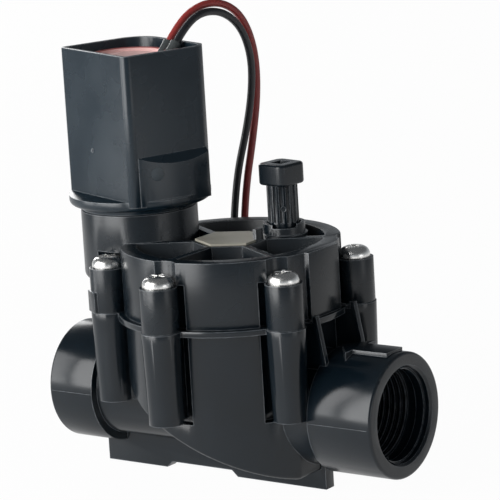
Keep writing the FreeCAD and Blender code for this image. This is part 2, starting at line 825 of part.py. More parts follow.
def bonnet():
    """The moulded cover with its lugs, ring, hub, neck and bleed cup."""
    height = dim.bonnet_top - bonnet_base
    wall = cylinder("bonnet_wall", dim.bonnet_radius, height, z=bonnet_base)
    pockets = lug_pockets("wall_pocket", dim.bonnet_pocket_radius, bonnet_base, dim.lug_top)
    panel = box("inlet_panel", (0, -dim.panel_half_width, bonnet_base),
                (dim.panel_x, dim.panel_half_width, dim.bonnet_top))
    lug_height = dim.lug_top - bonnet_base
    lugs = at_screws("lug", lambda label, x, y, angle: cylinder(
        label, dim.lug_radius, lug_height, x, y, bonnet_base))
    webs = lug_webs("lug_web", bonnet_base, dim.lug_top)
    tab = bar("lug_tab", dim.tab_length, dim.tab_width, bonnet_base, bonnet_base + dim.tab_height, dim.tab_angle,
              SCREWS[0][0], SCREWS[0][1])
    cover = cut("bonnet_cover", fuse("bonnet_solid", cut("pocketed_wall", wall, *pockets), panel),
                bonnet_pockets())
    web = box("bleed_web_top", (dim.web_x, 0, pocket_floor),
              (dim.web_x + dim.web_thickness, dim.web_length, dim.bonnet_top + dim.web_rise))
    raised = fuse("bonnet_raised", cover, *lugs, *webs, tab, web, bleed_cup())
    notches = at_screws("driver_notch", lambda label, x, y, angle: cylinder(
        label, dim.driver_radius, THROUGH, x, y, dim.lug_top))
    head_rooms = at_screws("head_room", lambda label, x, y, angle: cylinder(
        label, dim.driver_radius, dim.screw_head_height + dim.head_gap, x, y, dim.lug_top))
    notched = cut("bonnet_notched", raised, *notches)
    shape = cut("bonnet_shape", fuse("bonnet_necked", notched, *solenoid_neck()), *head_rooms, *bonnet_bores(),
                *screw_holes("lug_hole", bonnet_base - BEYOND, dim.lug_top + BEYOND))
    return node(shape, "bonnet")


def nameplate():
    """The bare six-sided plate on the hub."""
    half_side = dim.plate_radius / 2
    plate = padded("nameplate_blank", "XY_Plane", [
        (dim.plate_reach, half_side),
        (0, dim.plate_radius),
        (-dim.plate_reach, half_side),
        (-dim.plate_reach, -half_side),
        (0, -dim.plate_radius),
        (dim.plate_reach, -half_side),
    ], dim.plate_thickness)
    place(plate, z=dim.bonnet_top)
    clear = box("web_clearance", (dim.web_x - dim.fit_clearance, -dim.fit_clearance, dim.bonnet_top),
                (dim.plate_radius + BEYOND, dim.plate_radius, dim.bonnet_top + THROUGH))
    return node(cut("nameplate_shape", plate, clear), "nameplate")


# ---------------------------------------------------------------- screws

def bonnet_screw(name, x, y, angle):
    """A self-tapping pan-head screw with a cross recess, turned by its place."""
    head = cylinder(f"{name}_head_block", dim.screw_head_radius, dim.screw_head_height, z=dim.lug_top)
    head_top = dim.lug_top + dim.screw_head_height
    head = rounded(f"{name}_head", head, dim.screw_dome, at_height(head_top))
    shank_length = dim.screw_length - dim.screw_point
    shank = cylinder(f"{name}_shank", dim.screw_radius, shank_length, z=dim.lug_top - shank_length)
    point = cone(f"{name}_point", dim.screw_radius / 3, dim.screw_radius, dim.screw_point,
                 z=dim.lug_top - dim.screw_length)
    recess_bottom = head_top - dim.recess_depth
    slots = [bar(f"{name}_recess_{turn}", dim.recess_length, dim.recess_width, recess_bottom, head_top + BEYOND,
                 turn, start=-dim.recess_length / 2) for turn in (0, QUARTER_TURN)]
    screw = cut(name, fuse(f"{name}_solid", head, shank, point), *slots)
    return turned_about_z(screw, angle * 2, x, y)


def bonnet_screws():
    """The six screws that hold the bonnet down."""
    group = doc.addObject("Part::Compound", "bonnet_screws_shape")
    group.Links = at_screws("bonnet_screw", bonnet_screw)
    return node(group, "bonnet_screws")


# ---------------------------------------------------------------- bleed screw

groove_low = (dim.bleed_floor + dim.cup_step) / 2
groove_high = groove_low + dim.seal_groove_width
groove_radius = dim.bleed_shank - dim.seal_groove_width / 2 - dim.fit_clearance


def bleed_screw():
    """The hand screw: a pointed shank, a fluted stem and a square socketed head."""
    stem_bottom = dim.cup_step + dim.bleed_clearance
    tip = dim.bleed_floor + dim.fit_clearance
    flat = dim.pilot_radius - dim.fit_clearance
    shank = turned("bleed_shank", [
        (0, tip),
        (flat, tip),
        (dim.bleed_shank, tip + dim.bleed_point),
        (dim.bleed_shank, groove_low),
        (groove_radius, groove_low),
        (groove_radius, groove_high),
        (dim.bleed_shank, groove_high),
        (dim.bleed_shank, stem_bottom),
        (dim.stem_radius, stem_bottom),
        (dim.stem_radius, dim.head_bottom),
        (0, dim.head_bottom),
    ])
    flute_length = dim.head_bottom - stem_bottom - dim.flute_margin
    flutes = []
    for number in range(round(dim.flute_count.value)):
        angle = number * FULL_TURN / round(dim.flute_count.value)
        flutes.append(cylinder(f"flute_{number + 1}", dim.flute_radius, flute_length,
                               dim.stem_radius * cosine(angle), dim.stem_radius * sine(angle),
                               stem_bottom + dim.flute_margin))
    stem = cut("bleed_stem", shank, *flutes)
    half = dim.head_side / 2
    head = padded("bleed_head", "XY_Plane", [(-half, -half), (half, -half), (half, half), (-half, half)],
                  dim.head_height)
    fillet_in(head, dim.head_corner, lambda edge: edge.BoundBox.ZLength > edge.BoundBox.DiagonalLength / 2)
    fillet_in(head, dim.head_edge, lambda edge: edge.BoundBox.ZLength < edge.BoundBox.DiagonalLength / 2)
    place(head, z=dim.head_bottom)
    socket_half = dim.head_socket / 2
    head_top = dim.head_bottom + dim.head_height
    socket = box("head_socket", (-socket_half, -socket_half, head_top - dim.head_socket_depth),
                 (socket_half, socket_half, head_top + BEYOND))
    screw = cut("bleed_screw_shape", fuse("bleed_screw_solid", stem, head), socket)
    return node(turned_about_z(screw, dim.head_angle, dim.bleed_x, dim.bleed_y), "bleed_screw")


def ring_seal(name, groove, wire, height):
    """A rubber ring that sits in a groove, at its height."""
    ring = doc.addObject("Part::Torus", f"{name}_shape")
    bind(ring, Radius1=as_size(groove) + wire + dim.fit_clearance, Radius2=wire)
    return node(place(ring, z=height), name)


def bleed_o_ring():
    """The seal in the bleed screw's groove."""
    wire = (dim.bleed_shank + dim.bleed_clearance - groove_radius) / 2 - 2 * dim.fit_clearance
    ring = ring_seal("bleed_o_ring", groove_radius, wire, (groove_low + groove_high) / 2)
    return place(ring, dim.bleed_x, dim.bleed_y, (groove_low + groove_high) / 2)


# ---------------------------------------------------------------- diaphragm set

def diaphragm():
    """The rubber diaphragm: a flat middle, a sloping fold and a clamped rim."""
    sheet = turned("diaphragm_round", [
        (bolt_hole + dim.rubber_clearance, rubber_bottom),
        (dim.fold_start, rubber_bottom),
        (dim.fold_end, rim_bottom),
        (dim.rim_radius, rim_bottom),
        (dim.rim_radius, dim.body_top),
        (dim.fold_end - dim.rubber_clearance, dim.body_top),
        (dim.fold_start - dim.rubber_clearance, rubber_top),
        (bolt_hole + dim.rubber_clearance, rubber_top),
    ])
    hole = cylinder("filter_gap", dim.filter_radius + dim.rubber_clearance, THROUGH, dim.filter_offset)
    return node(cut("diaphragm_shape", sheet, hole), "diaphragm")


def diaphragm_plate():
    """The stiff plate on the diaphragm, with the boss that guides the spring."""
    plate = turned("plate_round", [
        (bolt_hole, rubber_top),
        (dim.plate_edge, rubber_top),
        (dim.plate_edge, plate_top),
        (dim.spring_boss, plate_top),
        (dim.spring_boss, dim.spring_boss_top),
        (bolt_hole, dim.spring_boss_top),
    ])
    hole = cylinder("filter_hole", dim.filter_radius + dim.fit_clearance, THROUGH, dim.filter_offset)
    return node(cut("diaphragm_plate_shape", plate, hole), "diaphragm_plate")


def seat_disc():
    """The disc that closes the seat."""
    disc = turned("seat_disc_shape", [
        (bolt_hole, seal_bottom),
        (dim.seal_radius, seal_bottom),
        (dim.seal_radius, rubber_bottom),
        (bolt_hole, rubber_bottom),
    ])
    return node(disc, "seat_disc")


def diaphragm_stem():
    """The rivet that holds the plate, the diaphragm and the disc together."""
    stem = turned("diaphragm_stem_shape", [
        (0, seal_bottom - dim.stem_head_height),
        (dim.stem_head, seal_bottom - dim.stem_head_height),
        (dim.stem_head, seal_bottom),
        (dim.stem_bolt, seal_bottom),
        (dim.stem_bolt, dim.spring_boss_top),
        (dim.stem_head - BEYOND, dim.spring_boss_top),
        (dim.stem_head - BEYOND, dim.spring_boss_top + dim.stem_head_height / 2),
        (0, dim.spring_boss_top + dim.stem_head_height / 2),
    ])
    return node(stem, "diaphragm_stem")


def filter_screen():
    """The metering filter through the plate and the diaphragm."""
    top = plate_top + dim.stem_head_height / 2
    screen = turned("filter_screen_shape", [
        (0, seal_bottom),
        (dim.filter_radius, seal_bottom),
        (dim.filter_radius, plate_top),
        (dim.filter_flange, plate_top),
        (dim.filter_flange, top),
        (0, top),
    ])
    return node(place(screen, x=dim.filter_offset), "filter_screen")


def diaphragm_spring():
    """The spring in the hub that presses the plate down."""
    return node(spring("diaphragm_spring_shape", dim.spring_coil_radius, dim.spring_wire, plate_top,
                       hub_ceiling, 6), "diaphragm_spring")


def pilot_seat():
    """The small seat that the plunger closes."""
    top = dim.neck_floor + dim.pilot_seat_height
    seat = turned("pilot_seat_shape", [
        (dim.pilot_radius, dim.neck_floor),
        (dim.pilot_seat_radius, dim.neck_floor),
        (dim.pilot_seat_radius / 2, top),
        (dim.pilot_radius, top),
    ])
    return node(place(seat, x=neck_x), "pilot_seat")


# ---------------------------------------------------------------- solenoid

def set_on_neck(feature, x=0, y=0, z=0):
    """Turn a feature with the solenoid and set it at a place seen from the neck's axis."""
    along, across = cosine(dim.solenoid_angle), sine(dim.solenoid_angle)
    return turned_about_z(feature, dim.solenoid_angle, neck_x + along * x - across * y,
                          across * x + along * y, z)


def on_neck(feature, name):
    """Keep a solenoid piece, turned with the solenoid about the neck's axis."""
    return node(set_on_neck(feature), name)


def case_outline(name, inset, low, high):
    """The case's outline about its own middle between two heights, moved inwards by an inset."""
    left, right = -dim.case_x + inset, dim.case_x - inset
    front, back = -dim.case_front + inset, dim.case_back - inset
    body = padded(name, "XY_Plane", [(left, front), (right, front), (right, back), (left, back)],
                  as_size(high) - low)
    corners = [(right, front, dim.near_corner), (left, front, dim.left_corner), (right, back, dim.far_corner),
               (left, back, dim.back_corner)]
    for x, y, radius in corners:
        if radius.value > as_size(inset).value:
            fillet_in(body, radius - inset, vertical_edge_at(x, y))
    return place(body, dim.case_shift_x, dim.case_shift_y, low)


def solenoid_housing():
    """The case with its round base, its cheek and the nose that goes into the neck."""
    case = case_outline("case_block", 0, dim.case_bottom + dim.base_height / 2, dim.case_top)
    base_block = cylinder("base_block", dim.base_radius, dim.base_height, dim.base_shift_x, dim.base_shift_y,
                          dim.case_bottom)
    base = rounded("base", base_block, dim.base_edge, at_height(dim.case_bottom))
    cheek_face = dim.case_x + dim.cheek_bulge
    cheek_low = dim.case_bottom + dim.base_height / 2
    cheek_root = dim.case_x - dim.cheek_root
    wedge = padded("cheek_wedge", "XZ_Plane", [
        (cheek_root, cheek_low),
        (cheek_face, cheek_low),
        (cheek_face, dim.cheek_top),
        (dim.case_x, dim.cheek_top + dim.cheek_slope),
        (cheek_root, dim.cheek_top + dim.cheek_slope),
    ], 2 * dim.cheek_radius, midplane=True)
    place(wedge, dim.case_shift_x)
    curve = cylinder("cheek_curve", dim.cheek_radius, dim.case_top,
                     dim.case_shift_x + cheek_face - dim.cheek_radius, dim.case_shift_y + dim.cheek_middle)
    span = box("cheek_span", (0, dim.case_shift_y - dim.cheek_start, 0),
               (dim.base_radius + dim.cheek_bulge, dim.case_shift_y + dim.cheek_end, dim.case_top))
    cheek = common("cheek", wedge, curve, span)
    collar_low = dim.neck_top + dim.collar_gap
    nose_radius = dim.neck_bore - dim.nose_clearance
    groove = nose_radius - 2 * dim.solenoid_ring_wire
    groove_top = dim.seal_groove_height + dim.seal_groove_width
    nose = turned("nose", [
        (0, dim.nose_bottom),
        (nose_radius, dim.nose_bottom),
        (nose_radius, dim.seal_groove_height),
        (groove, dim.seal_groove_height),
        (groove, groove_top),
        (nose_radius, groove_top),
        (nose_radius, collar_low),
        (dim.collar_radius_top, collar_low),
        (dim.collar_radius_top, dim.case_bottom + dim.base_height / 2),
        (0, dim.case_bottom + dim.base_height / 2),
    ])
    inside = case_outline("case_inside", dim.case_wall, dim.case_floor, dim.case_top + BEYOND)
    tube = cylinder("tube_hole", tube_hole, THROUGH, z=dim.nose_bottom - BEYOND)
    return on_neck(cut("solenoid_housing_shape", fuse("housing_solid", case, base, cheek, nose), inside, tube),
                   "solenoid_housing")


def solenoid_o_ring():
    """The seal in the nose's groove."""
    groove = dim.neck_bore - dim.nose_clearance - 2 * dim.solenoid_ring_wire
    height = dim.seal_groove_height + dim.seal_groove_width / 2
    ring = ring_seal("solenoid_o_ring", groove, dim.solenoid_ring_wire, height)
    return place(ring, neck_x, 0, height)


def coil_bobbin():
    """The spool that carries the winding."""
    low, high = dim.frame_bottom + dim.frame_thickness, dim.frame_bottom + dim.frame_height - dim.frame_thickness
    core = tube_hole + dim.bobbin_wall
    spool = turned("coil_bobbin_shape", [
        (tube_hole, low),
        (dim.bobbin_flange, low),
        (dim.bobbin_flange, low + dim.bobbin_flange_thickness),
        (core, low + dim.bobbin_flange_thickness),
        (core, high - dim.bobbin_flange_thickness),
        (dim.bobbin_flange, high - dim.bobbin_flange_thickness),
        (dim.bobbin_flange, high),
        (tube_hole, high),
    ])
    return on_neck(spool, "coil_bobbin")


def coil_winding():
    """The copper winding on the spool."""
    margin = dim.frame_thickness + dim.bobbin_flange_thickness + dim.fit_clearance
    low, high = dim.frame_bottom + margin, dim.frame_bottom + dim.frame_height - margin
    core = tube_hole + dim.bobbin_wall + dim.fit_clearance
    winding = turned("coil_winding_shape", [
        (core, low),
        (dim.winding_radius, low),
        (dim.winding_radius, high),
        (core, high),
    ])
    return on_neck(winding, "coil_winding")


def flux_frame():
    """The steel bracket round the coil."""
    low, high = dim.frame_bottom, dim.frame_bottom + dim.frame_height
    half = dim.frame_half_width
    outer = box("frame_outer", (-dim.bobbin_flange, -half, low), (dim.frame_reach, half, high))
    inner = box("frame_inner", (-dim.bobbin_flange - BEYOND, -half - BEYOND, low + dim.frame_thickness),
                (dim.frame_reach - dim.frame_thickness, half + BEYOND, high - dim.frame_thickness))
    hole = cylinder("frame_hole", tube_hole, THROUGH, z=low - BEYOND)
    return on_neck(cut("flux_frame_shape", outer, inner, hole), "flux_frame")


def core_tube():
    """The thin tube that the plunger slides in."""
    tube = turned("core_tube_shape", [
        (tube_bore, dim.nose_bottom),
        (dim.tube_radius, dim.nose_bottom),
        (dim.tube_radius, dim.tube_top),
        (tube_bore, dim.tube_top),
    ])
    return on_neck(tube, "core_tube")


def pole_piece():
    """The fixed core in the top of the tube."""
    radius = tube_bore - dim.fit_clearance / 2
    pole = turned("pole_piece_shape", [
        (0, pole_bottom),
        (radius, pole_bottom),
        (radius, dim.tube_top),
        (dim.tube_radius, dim.tube_top),
        (dim.tube_radius, dim.tube_top + dim.pole_rim / 2),
        (0, dim.tube_top + dim.pole_rim / 2),
    ])
    return on_neck(pole, "pole_piece")


def plunger():
    """The sliding core, bored at its top for its spring and at its bottom for its seal."""
    radius = tube_bore - dim.slide_clearance
    seal_recess = dim.plunger_bottom + dim.plunger_seal_height / 2
    seal_fit = dim.plunger_seal_radius + dim.fit_clearance / 2
    slug = turned("plunger_shape", [
        (0, seal_recess),
        (seal_fit, seal_recess),
        (seal_fit, dim.plunger_bottom),
        (radius, dim.plunger_bottom),
        (radius, dim.plunger_top),
        (dim.plunger_bore, dim.plunger_top),
        (dim.plunger_bore, dim.plunger_top - dim.plunger_bore_depth),
        (0, dim.plunger_top - dim.plunger_bore_depth),
    ])
    return on_neck(slug, "plunger")


def plunger_seal():
    """The rubber face of the plunger, just clear of the pilot seat."""
    low = dim.neck_floor + dim.pilot_seat_height + dim.fit_clearance
    seal = turned("plunger_seal_shape", [
        (0, low),
        (dim.plunger_seal_radius, low),
        (dim.plunger_seal_radius, dim.plunger_bottom + dim.plunger_seal_height / 2),
        (0, dim.plunger_bottom + dim.plunger_seal_height / 2),
    ])
    return on_neck(seal, "plunger_seal")


def plunger_spring():
    """The light spring between the plunger and the fixed core."""
    coil = spring("plunger_spring_shape", dim.plunger_spring_radius, dim.plunger_spring_wire,
                  dim.plunger_top - dim.plunger_bore_depth, pole_bottom, 7)
    return on_neck(coil, "plunger_spring")


def potting_cover():
    """The resin that closes the case over the coil."""
    low = dim.potting_top - dim.potting_thickness
    slab = case_outline("potting_slab", dim.case_wall + dim.fit_clearance, low, dim.potting_top)
    return node(set_on_neck(slab, dim.case_shift_x, dim.case_shift_y, low), "potting_cover")


def coil_cap():
    """The rimmed disc on the potting, cut away round the lead sleeves."""
    top = dim.potting_top + dim.cap_height
    cap = turned("cap_round", [
        (0, dim.potting_top),
        (dim.cap_radius, dim.potting_top),
        (dim.cap_radius, top),
        (dim.cap_radius - dim.cap_rim, top),
        (dim.cap_radius - dim.cap_rim, top - dim.cap_recess),
        (0, top - dim.cap_recess),
    ])
    set_on_neck(cap, dim.cap_x, dim.cap_y)
    gaps = [slanted_sleeve(f"{name}_sleeve_gap", route, dim.sleeve_radius + dim.fit_clearance)
            for name, route in ROUTES.items()]
    return node(cut("coil_cap_shape", cap, *gaps), "coil_cap")


# ---------------------------------------------------------------- leads

ROUTES = {
    "red": [
        (-25.2, 10.6, 122.0), (-24.2, 15.2, 127.6), (-21.4, 22.0, 131.4), (-18.4, 29.4, 130.9),
        (-16.6, 36.0, 125.6), (-16.2, 40.6, 115.5), (-17.0, 42.2, 103.0), (-19.1, 41.6, 89.0),
        (-22.1, 40.4, 75.0), (-24.4, 39.8, 60.0), (-25.0, 39.8, 45.0), (-24.8, 40.1, 31.5),
        (-24.6, 41.2, 21.5), (-24.4, 44.6, 13.2), (-24.3, 50.8, 8.8), (-24.3, 58.0, 8.0),
    ],
    "black": [
        (-21.6, 9.1, 122.0), (-20.9, 13.8, 127.0), (-19.3, 20.6, 129.7), (-17.4, 27.9, 128.2),
        (-16.2, 34.0, 122.6), (-16.3, 37.8, 113.6), (-18.0, 39.2, 103.0), (-20.7, 39.0, 91.5),
        (-23.8, 38.0, 80.0), (-25.8, 37.6, 67.0), (-27.0, 37.7, 54.0), (-27.2, 37.9, 41.5),
        (-27.2, 38.4, 30.5), (-27.1, 40.2, 21.6), (-27.0, 44.2, 14.4), (-27.0, 50.6, 10.6),
        (-27.0, 58.0, 9.7),
    ],
}
RUN_SHARE = 0.45


def vectors(points):
    """The points of a route as vectors."""
    return [FreeCAD.Vector(*point) for point in points]


def smooth_path(name, points):
    """A wire of straight runs joined by tangent arcs, each as large as its two runs allow."""
    points = vectors(points)
    start = points[0]
    edges = []
    radii = []
    for before, corner, after in zip(points, points[1:], points[2:]):
        back, ahead = before - corner, after - corner
        setback = RUN_SHARE * min(back.Length, ahead.Length)
        half_turn = (math.pi - back.getAngle(ahead)) / 2
        radius = setback / math.tan(half_turn)
        radii.append(round(radius, 1))
        into = corner + back.normalize() * setback
        out = corner + ahead.normalize() * setback
        inward = (back + ahead).normalize()
        middle = corner + inward * (radius / math.cos(half_turn) - radius)
        edges.append(Part.LineSegment(start, into).toShape())
        edges.append(Part.Arc(into, middle, out).toShape())
        start = out
    edges.append(Part.LineSegment(start, points[-1]).toShape())
    path = doc.addObject("Part::Feature", f"{name}_path")
    path.Shape = Part.Wire(edges)
    print(name, "length", round(path.Shape.Length, 1), "radii", radii)
    return path


def slanted(feature, points):
    """Place a feature's axis along the first run of a route, from the route's start backwards."""
    start, following = vectors(points[:2])
    feature.Placement = FreeCAD.Placement(start, FreeCAD.Rotation(FreeCAD.Vector(0, 0, 1), start - following))
    return feature


def lead(name, points):
    """The part of a lead between its sleeve and its coil."""
    section = bind(doc.addObject("Part::Circle", f"{name}_section"), Radius=dim.lead_radius)
    slanted(section, points)
    tube = doc.addObject("Part::Sweep", f"{name}_shape")
    tube.Sections = [section]
    tube.Spine = (smooth_path(name, points), [])
    tube.Solid = True
    return node(tube, name)


def slanted_sleeve(name, points, radius):
    """A round sleeve along the start of a route, down to the potting."""
    length = (dim.case_top - dim.potting_top) * 3
    sleeve = bind(doc.addObject("Part::Cylinder", f"{name}_round"), Radius=radius, Height=length)
    slanted(sleeve, points)
    reach = 2 * dim.base_radius
    above = box(f"{name}_above", (neck_x - reach, -reach, dim.potting_top), (neck_x + reach, reach, dim.case_top * 2))
    return common(name, sleeve, above)


def lead_sleeves():
    """The two sleeves that the leads come out of."""
    group = doc.addObject("Part::Compound", "lead_sleeves_shape")
    group.Links = [slanted_sleeve(f"{name}_sleeve", route, dim.sleeve_radius) for name, route in ROUTES.items()]
    return node(group, "lead_sleeves")


def lead_coil(name, radius, height):
    """The outer shape of a coiled lead that lies on the floor."""
    side = dim.lead_radius + dim.coil_side_clearance
    ring = turned(f"{name}_shape", [
        (radius - side, 0),
        (radius + side, 0),
        (radius + side, height),
        (radius - side, height),
    ])
    return node(place(ring, dim.coil_x, dim.coil_y), name)


def coil_tip(name, radius, height, angle, heading):
    """The bared end of a lead, from its coil's wall at an angle about the coil, pointing at a heading."""
    tip = bind(doc.addObject("Part::Cylinder", name), Radius=dim.tip_radius, Height=dim.tip_length)
    pointing = FreeCAD.Vector(math.cos(math.radians(heading)), math.sin(math.radians(heading)), 0)
    x = dim.coil_x + radius * cosine(angle)
    y = dim.coil_y + radius * sine(angle)
    return place(tip, x, y, height, FreeCAD.Rotation(FreeCAD.Vector(0, 0, 1), pointing))


def lead_tips():
    """The bared ends of both leads, the red one outside its coil and the black one inside."""
    side = dim.lead_radius + dim.coil_side_clearance + dim.tip_radius
    group = doc.addObject("Part::Compound", "lead_tips_shape")
    group.Links = [
        coil_tip("red_tip", dim.red_coil_radius + side, dim.lead_radius, 331, 20),
        coil_tip("black_tip", dim.black_coil_radius - side, dim.lead_radius, 266, 65),
    ]
    return node(group, "lead_tips")


# ---------------------------------------------------------------- assembly

def build():
    """Make every sub-part."""
    for make in (valve_body, bonnet, bonnet_screws, nameplate, diaphragm, diaphragm_plate, seat_disc,
                 diaphragm_stem, filter_screen, diaphragm_spring, pilot_seat, bleed_screw, bleed_o_ring,
                 solenoid_housing, solenoid_o_ring, coil_bobbin, coil_winding, flux_frame, core_tube,
                 pole_piece, plunger, plunger_seal, plunger_spring, potting_cover, coil_cap, lead_sleeves,
                 lead_tips):
        make()
    for name, points in ROUTES.items():
        lead(f"{name}_lead", points)
    lead_coil("red_lead_coil", dim.red_coil_radius, dim.red_coil_height)
    lead_coil("black_lead_coil", dim.black_coil_radius, dim.black_coil_height)
    doc.recompute()


def problems():
    """What is wrong with any feature or sub-part, in words."""
    found = [f"{item.Name} is {'/'.join(item.State)}" for item in doc.Objects
             if "Invalid" in item.State or "Error" in item.State]
    for item in nodes:
        if item.Shape.isNull() or not item.Shape.isValid():
            found.append(f"{item.Label} has no valid shape")
        elif not item.Shape.Solids:
            found.append(f"{item.Label} has no solid")
    return found


def export():
    """Write each sub-part to its own file."""
    os.makedirs("parts", exist_ok=True)
    for item in nodes:
        item.Shape.exportStep(f"parts/{item.Label}.step")


build()
faults = problems()
if faults:
    raise RuntimeError("; ".join(faults))
for item in nodes:
    print(item.Label, len(item.Shape.Solids), "solids", round(item.Shape.Volume, 1), "mm3")
export()
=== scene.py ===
import logging
import math
from dataclasses import dataclass
from enum import Enum

import bpy
from mathutils import Matrix, Vector


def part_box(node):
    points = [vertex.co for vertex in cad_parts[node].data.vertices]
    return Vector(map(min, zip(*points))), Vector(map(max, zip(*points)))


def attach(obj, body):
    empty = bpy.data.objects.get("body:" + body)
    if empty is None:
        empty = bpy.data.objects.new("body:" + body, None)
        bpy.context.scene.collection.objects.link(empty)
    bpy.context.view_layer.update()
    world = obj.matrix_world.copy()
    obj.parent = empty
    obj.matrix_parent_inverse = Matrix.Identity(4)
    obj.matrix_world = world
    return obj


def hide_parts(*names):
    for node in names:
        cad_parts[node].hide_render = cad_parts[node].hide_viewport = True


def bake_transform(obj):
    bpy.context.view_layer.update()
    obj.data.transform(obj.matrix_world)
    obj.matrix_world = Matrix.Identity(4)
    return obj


logging.basicConfig(level=logging.INFO, format="%(message)s")
log = logging.getLogger("valve")

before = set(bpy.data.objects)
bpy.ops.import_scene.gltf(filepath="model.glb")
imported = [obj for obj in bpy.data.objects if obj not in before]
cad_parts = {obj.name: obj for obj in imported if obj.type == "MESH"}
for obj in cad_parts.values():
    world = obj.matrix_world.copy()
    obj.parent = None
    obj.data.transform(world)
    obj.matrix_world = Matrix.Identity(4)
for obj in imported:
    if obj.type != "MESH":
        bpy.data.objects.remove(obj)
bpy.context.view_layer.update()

MM = 0.001
Point = tuple[float, float, float]
Colour = tuple[float, float, float]


def metres(point: Point) -> Vector:
    """A point given in millimetres, in metres."""
    return Vector(point) * MM


# ---------------------------------------------------------------- shader groups

class ShaderGroup:
    """A node group with named inputs and outputs, built once and placed in many materials."""

    def __init__(self, name: str, inputs: dict[str, float], outputs: tuple[str, ...]) -> None:
        """Start an empty group.

        Args:
            name: the group's name.
            inputs: input names with their default values.
            outputs: the names of the number outputs.
        """
        self.tree = bpy.data.node_groups.new(name, "ShaderNodeTree")
        for label, value in inputs.items():
            socket = self.tree.interface.new_socket(label, in_out="INPUT", socket_type="NodeSocketFloat")
            socket.default_value = value
        for label in outputs:
            self.tree.interface.new_socket(label, in_out="OUTPUT", socket_type="NodeSocketFloat")
        self.inputs = self.tree.nodes.new("NodeGroupInput").outputs
        self.outputs = self.tree.nodes.new("NodeGroupOutput").inputs

    def node(self, kind: str, **settings: object) -> bpy.types.Node:
        """Add a node to the group.

        Args:
            kind: the node's type without its ShaderNode prefix.
            settings: attributes of the node.

        Returns:
            The new node.
        """
        made = self.tree.nodes.new(f"ShaderNode{kind}")
        for label, value in settings.items():
            setattr(made, label, value)
        return made

    def link(self, source: bpy.types.NodeSocket, target: bpy.types.NodeSocket) -> None:
        """Join two sockets."""
        self.tree.links.new(source, target)

    def noise(self, scale: float | bpy.types.NodeSocket, detail: float,
              roughness: float) -> bpy.types.NodeSocket:
        """Noise over the object's own coordinates.

        Args:
            scale: features per metre, as a number or a socket.
            detail: how many octaves it has.
            roughness: how strong the fine octaves are.

        Returns:
            The noise's number output.
        """
        coordinates = self.node("TexCoord")
        texture = self.node("TexNoise")
        texture.inputs["Detail"].default_value = detail
        texture.inputs["Roughness"].default_value = roughness
        self.link(coordinates.outputs["Object"], texture.inputs["Vector"])
        if isinstance(scale, bpy.types.NodeSocket):
            self.link(scale, texture.inputs["Scale"])
        else:
            texture.inputs["Scale"].default_value = scale
        return texture.outputs["Fac"]

    def math(self, operation: str, *values: float | bpy.types.NodeSocket) -> bpy.types.NodeSocket:
        """A math node over numbers and sockets.

        Args:
            operation: the node's operation.
            values: its inputs in order.

        Returns:
            The result's socket.
        """
        made = self.node("Math", operation=operation)
        for number, value in enumerate(values):
            if isinstance(value, bpy.types.NodeSocket):
                self.link(value, made.inputs[number])
            else:
                made.inputs[number].default_value = value
        return made.outputs[0]

    def remap(self, value: bpy.types.NodeSocket, low: float, high: float) -> bpy.types.NodeSocket:
        """Stretch a socket's range between two values to 0..1."""
        made = self.node("MapRange")
        made.inputs["From Min"].default_value = low
        made.inputs["From Max"].default_value = high
        self.link(value, made.inputs["Value"])
        return made.outputs["Result"]


def mould_grain_group() -> bpy.types.NodeTree:
    """The grain of a spark-eroded mould and the shallow waves of cooling, as a height in millimetres."""
    finer, fine_share, waves_per_metre = 2.7, 0.35, 75.0
    group = ShaderGroup("mould_grain", {"Scale": 2600.0, "Depth": 0.05, "Sink": 0.0}, ("Height",))
    pebbles = group.noise(group.inputs["Scale"], detail=2.0, roughness=0.55)
    coarse = group.remap(pebbles, low=0.38, high=0.66)
    fine_scale = group.math("MULTIPLY", group.inputs["Scale"], finer)
    fine = group.noise(fine_scale, detail=1.0, roughness=0.5)
    mixed = group.math("MULTIPLY_ADD", fine, fine_share, coarse)
    grain = group.math("MULTIPLY", mixed, group.inputs["Depth"])
    waves = group.noise(waves_per_metre, detail=1.0, roughness=0.4)
    group.link(group.math("MULTIPLY_ADD", waves, group.inputs["Sink"], grain), group.outputs["Height"])
    return group.tree


def handling_group() -> bpy.types.NodeTree:
    """Soft smudges and sparse fine scuffs left by handling, as two masks."""
    scuffs_per_metre, patches_per_metre = 420.0, 140.0
    group = ShaderGroup("handling_marks", {"Smudge Scale": 60.0}, ("Smudges", "Scuffs"))
    clouds = group.noise(group.inputs["Smudge Scale"], detail=3.0, roughness=0.55)
    group.link(group.remap(clouds, low=0.35, high=0.68), group.outputs["Smudges"])
    scratches = group.node("TexVoronoi", feature="DISTANCE_TO_EDGE")
    coordinates = group.node("TexCoord")
    stretch = group.node("Mapping")
    stretch.inputs["Scale"].default_value = (1.0, 0.35, 0.18)
    stretch.inputs["Rotation"].default_value = (0.4, 0.2, 0.7)
    group.link(coordinates.outputs["Object"], stretch.inputs["Vector"])
    group.link(stretch.outputs["Vector"], scratches.inputs["Vector"])
    scratches.inputs["Scale"].default_value = scuffs_per_metre
    lines = group.remap(scratches.outputs["Distance"], low=0.035, high=0.0)
    patches = group.remap(group.noise(patches_per_metre, detail=2.0, roughness=0.6), low=0.56, high=0.7)
    group.link(group.math("MULTIPLY", lines, patches), group.outputs["Scuffs"])
    return group.tree


